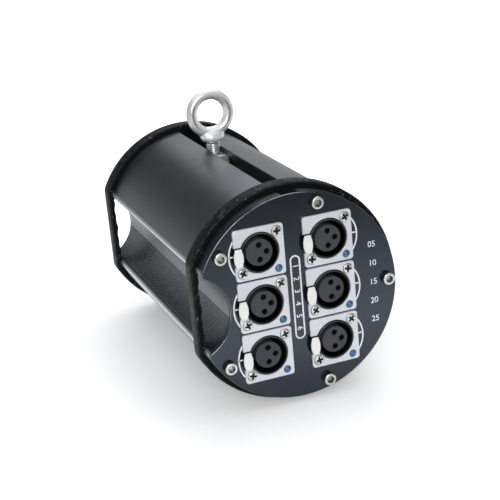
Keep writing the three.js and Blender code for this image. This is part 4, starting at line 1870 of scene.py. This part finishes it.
@dataclass(frozen=True)
class EyeBolt:
    """The forged eye bolt and the nut that it screws into."""

    node: str = "eye_bolt"
    ring_radius: float = 10.8
    ring_section: float = 3.0
    ring_height: float = 73.0
    foot: float = 57.5
    saddle: tuple[Point, ...] = (
        (0, 0), (5.4, 0), (5.9, 0.3), (6.5, 1.3), (7.0, 2.4), (7.1, 3.2),
        (6.9, 4.2), (6.2, 5.5), (5.2, 6.6), (3.8, 7.6), (2.0, 8.2), (0, 8.4),
    )
    saddle_flatness: float = 0.82
    saddle_taper: float = 0.4
    voxel: float = 0.24
    softening: int = 26
    dull_below: float = 0.7
    polish_spread: float = 0.75
    line_width: float = 0.02
    line_reach: float = 12.0
    side_dulling: float = 0.5
    shank_radius: float = 4.0
    thread_depth: float = 0.46
    thread_pitch: float = 1.0
    thread_inset: float = 0.12
    neck_depth: float = 0.9
    nut_bore: float = 4.25
    nut_corner: float = 0.5
    nut_edge: float = 0.6
    melt_growth: float = 0.02
    tube_steps: int = 28
    eye_reach: float = 9.0
    line_gain: float = 1.6
    side_gain: float = 1.4
    neck_start: float = 1.7
    neck_full: float = 1.3
    thread_start: float = 0.6
    thread_short: float = 2.2

    def forging(self, y: float) -> bpy.types.Mesh:
        """Melt the ring and the shoulder into one smooth forging.

        Args:
            y: The bolt's place along the drum.

        Returns:
            The forging's mesh.
        """
        tube, foot, rise = self.ring_section - self.melt_growth, self.foot, self.saddle[-1][1]
        turns = [TURN * i / self.tube_steps for i in range(self.tube_steps)]
        section = [(self.ring_radius + tube * math.cos(a), y + tube * math.sin(a)) for a in turns]
        ring = Shape().turned(section, (0, self.ring_height), steps=96)
        profile = [(radius, foot + height) for radius, height in self.saddle]
        saddle = Shape().turned(profile, (0, y), Axis.UP, steps=72)
        for vert in saddle.bm.verts:
            thinner = self.saddle_taper * (vert.co.z - foot) / rise
            vert.co.y = y + (vert.co.y - y) * (self.saddle_flatness - thinner)
        eye = circle(0, self.ring_height, self.ring_radius - self.ring_section, 72)
        bore = Shape().prism(eye, y - self.eye_reach, y + self.eye_reach)
        ring.take(saddle.cut(bore).loose_mesh("saddle"))
        obj = ring.loose_object("forging")
        melt = obj.modifiers.new("melt", "REMESH")
        melt.mode = "VOXEL"
        melt.voxel_size = self.voxel
        soften = obj.modifiers.new("soften", "SMOOTH")
        soften.factor = 0.5
        soften.iterations = self.softening
        return evaluated_mesh(obj)

    def polished(self, place: Vector, facing: Vector) -> float:
        """Tell how much painted light the forging takes.

        Its undersides and the ring's outer sides take painted shade, and a dark line along the middle of the
        ring's front is a painted reflection.

        Args:
            place: A place on the forging.
            facing: The way that the surface faces there.

        Returns:
            0 where the steel takes painted shade and 1 where it takes painted light.
        """
        lit = min(1.0, max(0.0, (facing.z + self.dull_below) / self.polish_spread))
        level = max(0.0, 1.0 - abs(place.z - self.ring_height) / self.line_reach)
        line = min(1.0, self.line_gain * level) * math.exp(-(((1 + facing.y) / self.line_width) ** 2))
        outward = max(0.0, facing.x * place.x / (self.ring_radius + self.ring_section))
        return lit * (1.0 - line) * (1.0 - self.side_dulling * min(1.0, self.side_gain * level) * outward)

    def build(self) -> None:
        """Make the forging, the threaded shank with its undercut, and the nut."""
        y = sum(along(self.node)) / 2
        low, top = span_of(self.node)[0][2] - DATUM.z, self.foot + 0.4
        # The forging's dark and pale steel is painted shade and painted light.
        forging = Piece("eye_bolt_forging", [STEEL], Body.EYE, [self.node], crease=80)
        forging.of_bake(self.forging(y), self.polished)
        core = self.shank_radius - self.thread_depth - self.thread_inset
        neck = core - self.neck_depth
        shank = [(0, low + 0.02), (core - 0.3, low + 0.02), (core, low + 0.5)]
        shank += [(core, top - self.neck_start), (neck, top - self.neck_full), (neck, top), (0, top)]
        shape = Shape().turned(shank, (0, y), Axis.UP, steps=40)
        Piece("eye_bolt_shank", [SHANK_STEEL], Body.EYE).of_shape(shape)
        values = {"Radius": core, "Pitch": self.thread_pitch, "Crest": self.thread_depth}
        values["Turns"] = (self.foot - low - self.thread_short) / self.thread_pitch
        mesh = ThreadTree(SHANK_STEEL).bake("eye_bolt_thread", values)
        mesh.transform(Matrix.Translation((0, y, low + self.thread_start)))
        Piece("eye_bolt_thread", [SHANK_STEEL], Body.EYE, crease=80).of_bake(mesh)
        self.build_nut(y)

    def build_nut(self, y: float) -> None:
        """Make the slot nut.

        Args:
            y: Its middle's y.
        """
        low, high = span_of("slot_nut")
        block = rounded_box(0, 0, high[0] - low[0], high[1] - low[1], self.nut_corner, 3)
        hole = circle(0, 0, self.nut_bore, 40)
        shape = Shape().prism(block, DATUM.z - high[2], DATUM.z - low[2], [hole], bevel=self.nut_edge)
        shape.bm.transform(Matrix.Translation((0, y, 0)) @ Matrix.Rotation(-QUARTER, 4, "X"))
        # The nut's bevels take a painted highlight through its pale worn colour.
        Piece("slot_nut_block", [NUT_STEEL], Body.NUT, ["slot_nut"]).of_shape(shape)


# Rear fittings


@dataclass(frozen=True)
class PowerInlet:
    """The mains inlet on the rear panel."""

    node: str = "power_inlet"
    cavity_width: float = 24.0
    cavity_height: float = 16.2
    cavity_depth: float = 15.0
    cavity_corner: float = 5.4
    corner: float = 2.0
    wall: float = 1.7
    rim: float = 2.2
    panel_gap: float = 0.25
    blades: tuple[Point, ...] = ((-7, -2), (0, 2), (7, -2))
    blade_size: Point = (2, 4)
    blade_length: float = 10.0

    def body_box(self, x: float, z: float, margin: float = 0) -> list[Point]:
        """Lay out the body round a middle, with a margin all round."""
        width, height = (v + 2 * self.wall + 2 * margin for v in (self.cavity_width, self.cavity_height))
        return rounded_box(x, z, width, height, self.corner)

    def panel_hole(self) -> list[Point]:
        """Lay out the hole that the inlet needs in the panel."""
        return self.body_box(*across(self.node), self.panel_gap)

    def cavity(self) -> list[Point]:
        """Lay out the recess, with its two upper corners cut.

        Returns:
            The outline's points.
        """
        right, top, cut = self.cavity_width / 2, self.cavity_height / 2, self.cavity_corner
        return [
            (-right, -top), (right, -top), (right, top - cut),
            (right - cut, top), (cut - right, top), (-right, top - cut),
        ]

    def build(self) -> None:
        """Make the shroud and its blades."""
        x, z = across(self.node)
        near, far = along(self.node)
        seat, floor = far - self.rim, far - self.cavity_depth
        body, rim = self.body_box(0, 0), self.body_box(0, 0, self.rim)
        shape = Shape(x, 0, z).prism(rim, seat, far, [self.cavity()], bevel=0.05, far_bevel=0.45)
        shape.prism(body, floor - 0.01, seat + 0.02, [self.cavity()])
        shape.prism(body, near, floor, bevel=0.3, far_bevel=0)
        for place in self.blades:
            blade = rounded_box(*place, *self.blade_size, 0.4, 3)
            shape.prism(blade, floor - 0.5, floor + self.blade_length, far_bevel=0.5, slots=(1, 1, 1))
        shroud = Piece("power_inlet_shroud", [MOULDING, SCREW_STEEL], replaces=[self.node], crease=34)
        shroud.of_shape(shape)


@dataclass(frozen=True)
class FuseHolder:
    """The panel fuse holder and its slotted cap."""

    radius: float = 6.0
    flange: float = 8.0
    flange_thickness: float = 2.0
    bore: float = 4.2
    bore_depth: float = 20.0
    stem: float = 3.2
    knob_height: float = 5.5
    slot_size: Point = (10.4, 1.4)
    slot_depth: float = 1.2

    def panel_hole(self) -> list[Point]:
        """Lay out the hole that the holder needs in the panel."""
        return circle(*across("fuse_holder"), self.radius + 0.25, 48)

    def build(self) -> None:
        """Make the holder and the cap."""
        x, z = across("fuse_holder")
        near, far = along("fuse_holder")
        radius, flange, bore, back = self.radius, self.flange, self.bore, far - self.flange_thickness
        barrel = [(0, near), (radius - 0.4, near), (radius, near + 0.4), (radius, back)]
        rim = [(flange - 0.05, back), (flange, back + 0.1), (flange, far - 0.6), (flange - 0.6, far)]
        inside = [(bore + 0.2, far), (bore, far - 0.2), (bore, far - self.bore_depth)]
        profile = [*barrel, *rim, *inside, (0, far - self.bore_depth)]
        holder = Shape(x, 0, z).turned(profile, steps=72)
        Piece("fuse_holder_body", [MOULDING], replaces=["fuse_holder"]).of_shape(holder)
        start, end = along("fuse_cap")
        stem, under = self.stem, end - self.knob_height
        profile = [(0, start), (stem - 0.3, start), (stem, start + 0.3), (stem, under)]
        profile += [(radius - 0.15, under), (radius, under + 0.15), (radius, end - 0.9)]
        profile += [(radius - 0.25, end - 0.3), (radius - 0.8, end), (0, end)]
        slot = rounded_box(0, 0, *self.slot_size, 0.3, 3)
        cap = Shape(x, 0, z).turned(profile, steps=72)
        cap.cut(Shape().prism(slot, end - self.slot_depth, end + 2))
        Piece("fuse_cap_knob", [MOULDING], Body.FUSE_CAP, ["fuse_cap"], crease=34).of_shape(cap)


# Stage


@dataclass(frozen=True)
class Lamp:
    """A soft oblong lamp, placed in metres, whose face is white at a brightness of 1."""

    name: str
    place: Place
    aim: Place
    size: Point
    brightness: float

    def hang(self) -> None:
        """Hang the lamp and turn it to its aim."""
        data = bpy.data.lights.new(self.name, "AREA")
        data.shape = "RECTANGLE"
        data.size, data.size_y = self.size
        data.energy = self.brightness * math.pi * self.size[0] * self.size[1]
        obj = linked(self.name, data)
        obj.location = self.place
        way = Vector(self.aim) - Vector(self.place)
        obj.rotation_euler = way.to_track_quat("-Z", "Y").to_euler()


@dataclass(frozen=True)
class Stage:
    """The floor, the light and the camera."""

    lamps: tuple[Lamp, ...] = (
        Lamp("key", (0.35, 0.5, 1.15), (0, 0, 0.05), (0.7, 0.7), 2.6),
        Lamp("back", (0.28, 1.0, 0.74), (0, 0, 0.06), (0.6, 0.5), 1.7),
        Lamp("front", (-0.35, -1.1, 0.5), (0, 0, 0.06), (0.6, 0.6), 7.5),
    )
    floor_side: float = 4.0
    floor_rough: Point = (0.36, 0.44)
    floor_tone: float = 0.86
    front_tone: float = 0.12
    floor_lift: float = 0.28
    mirror_lift: float = 0.8
    front_mirror: float = 0.55
    sky: Colour = (0.96, 0.98, 1.0)
    horizon: float = 1.0
    shade: float = 0.065
    ceiling: float = 0.9
    front_share: float = 0.25
    side_shares: Point = (0.9, 1.45)
    camera_place: Place = (-208.6, -526.3, 221.3)
    camera_right: Place = (0.9297, -0.3579, -0.0873)
    camera_up: Place = (0.194, 0.274, 0.942)
    camera_back: Place = (-0.3132, -0.8926, 0.3242)
    lens: float = 88.47

    def build_floor(self) -> None:
        """Lay the pale floor, which keeps the object's shadow."""
        half = self.floor_side / 2
        mesh = bpy.data.meshes.new("floor")
        corners = [(-half, -half, 0), (half, -half, 0), (half, half, 0), (-half, half, 0)]
        mesh.from_pydata(corners, [], [(0, 1, 2, 3)])
        floor = linked("floor", mesh)
        material = bpy.data.materials.new("pale_floor")
        self.lay_floor(NodeBoard.cleared(material))
        mesh.materials.append(material)

    def lay_floor(self, board: NodeBoard) -> None:
        """Lay the floor's nodes: matt and pale, painted darker ahead of the object as painted shade that the
        front panel mirrors, and whiter where the camera or a mirror sees it.

        Args:
            board: The floor material's board.
        """
        place = board.add("ShaderNodeTexCoord").outputs["Object"]
        low, high = self.floor_rough
        rough = GRAIN.place(board, Vector=place, Scale=3.0, Low=low, High=high)
        forward = board.add("ShaderNodeSeparateXYZ", {0: place}).outputs["Y"]
        # Painted shade: the floor's colour darkens ahead of the object.
        tone = board.graded(forward, (-0.40, -0.16), (self.front_tone, self.floor_tone))
        colour = board.add("ShaderNodeCombineColor", {0: tone, 1: tone, 2: tone}).outputs[0]
        matt = {"Base Color": colour, "Roughness": rough, "Specular IOR Level": 0.3}
        ray = board.add("ShaderNodeLightPath").outputs
        distance = board.add("ShaderNodeVectorMath", {0: place}, operation="LENGTH").outputs["Value"]
        whiter = board.graded(distance, (0.08, 0.45), (self.floor_lift, 1.0))
        dimmer = board.graded(distance, (0.14, 0.5), (self.mirror_lift, 0.0))
        ahead = board.graded(forward, (-0.19, -0.12), (self.front_mirror, 0.0))
        behind = board.graded(forward, (-0.1, 0.05), (0.0, 1.0))
        mirrored = board.math("MAXIMUM", ray["Is Glossy Ray"], ray["Is Transmission Ray"])
        share = board.math("MULTIPLY", dimmer, board.math("MAXIMUM", ahead, behind))
        direct = board.math("MULTIPLY", ray["Is Camera Ray"], whiter)
        strength = board.math("MAXIMUM", direct, board.math("MULTIPLY", mirrored, share))
        lift = board.add("ShaderNodeEmission", {"Color": (1, 1, 1, 1), "Strength": strength}).outputs[0]
        body = board.add("ShaderNodeBsdfPrincipled", matt).outputs[0]
        both = board.add("ShaderNodeAddShader", {0: body, 1: lift}).outputs[0]
        board.add("ShaderNodeOutputMaterial", {"Surface": both})

    def build_world(self) -> None:
        """Set plain soft studio light, with a darker belt above the horizon, on a white backdrop."""
        world = bpy.data.worlds.new("studio")
        bpy.context.scene.world = world
        board = NodeBoard.cleared(world)
        generated = board.add("ShaderNodeTexCoord").outputs["Generated"]
        way = board.add("ShaderNodeSeparateXYZ", {0: generated}).outputs
        height = board.graded(way["Z"], (0.0, 0.27), (self.horizon, self.shade))
        share = board.graded(way["Y"], (-0.5, 0.4), (self.front_share, 1.0))
        side = board.graded(way["X"], (0.2, 0.5), self.side_shares)
        top = board.graded(way["Z"], (0.5, 0.8), (0.0, self.ceiling))
        low = board.math("MULTIPLY", board.math("MULTIPLY", height, share), side)
        light = {"Color": (*self.sky, 1), "Strength": board.math("MAXIMUM", low, top)}
        sky = board.add("ShaderNodeBackground", light).outputs[0]
        white = board.add("ShaderNodeBackground", {"Color": (1, 1, 1, 1), "Strength": 1.0}).outputs[0]
        seen = board.add("ShaderNodeLightPath").outputs["Is Camera Ray"]
        shown = board.add("ShaderNodeMixShader", {0: seen, 1: sky, 2: white}).outputs[0]
        board.add("ShaderNodeOutputWorld", {"Surface": shown})

    def build_camera(self) -> None:
        """Set the camera where the photograph was taken from."""
        x, y, z = self.camera_place
        place = DATUM.matrix() @ Vector((x, along("output_1_flange")[0] + y, z))
        data = bpy.data.cameras.new("camera")
        data.lens = self.lens
        data.sensor_width = 36.0
        data.clip_start = 0.01
        camera = linked("camera", data)
        turn = Matrix((self.camera_right, self.camera_up, self.camera_back)).transposed().to_4x4()
        camera.matrix_world = Matrix.Translation(place) @ turn
        bpy.context.scene.camera = camera

    def build(self) -> None:
        """Make the whole stage."""
        self.build_floor()
        self.build_world()
        for lamp in self.lamps:
            lamp.hang()
        self.build_camera()
        bpy.context.scene.view_settings.view_transform = "Standard"


# The whole splitter


@dataclass(frozen=True)
class Splitter:
    """The whole object, built sub-assembly by sub-assembly."""

    drum: Drum = Drum()
    front: EndPanel = EndPanel(Facing.FRONT)
    rear: EndPanel = EndPanel(Facing.REAR)
    bumpers: tuple[Bumper, ...] = (Bumper("front_bumper"), Bumper("rear_bumper"))
    outputs: tuple[PanelSocket, ...] = tuple(PanelSocket(f"output_{i}", Facing.FRONT) for i in range(1, 7))
    signal_in: PanelSocket = PanelSocket("input", Facing.REAR, has_latch=False, has_lamp=False, has_pins=True)
    link: PanelSocket = PanelSocket("link", Facing.REAR, has_lamp=False)
    inlet: PowerInlet = PowerInlet()
    fuse: FuseHolder = FuseHolder()

    def build(self) -> None:
        """Make every piece in order."""
        self.drum.build()
        for bumper in self.bumpers:
            bumper.build(self.drum)
        rear_sockets = (self.signal_in, self.link)
        self.front.build(self.drum, [part.panel_hole() for part in self.outputs])
        self.rear.build(self.drum, [part.panel_hole() for part in (*rear_sockets, self.inlet, self.fuse)])
        for panel in (self.front, self.rear):
            PanelScrews().build(panel)
        for socket in (*self.outputs, *rear_sockets):
            socket.build()
        PlateScrews().build(self.outputs, Facing.FRONT)
        PlateScrews().build(rear_sockets, Facing.REAR)
        Lettering().build(self.outputs)
        EyeBolt().build()
        self.inlet.build()
        self.fuse.build()
        self.dress_inside()

    def dress_inside(self) -> None:
        """Give the pieces inside the drum their finishes."""
        for node, finish in (("output_board", BOARD), ("main_board", BOARD), ("power_module", MODULE)):
            obj = frame["nodes"][node]
            obj.data.materials.clear()
            obj.data.materials.append(finish.material())
            log.info("piece %s keeps its CAD mesh", node)


def main() -> None:
    """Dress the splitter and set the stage."""
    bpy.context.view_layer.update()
    Splitter().build()
    Stage().build()


if __name__ == "__main__":
    main()
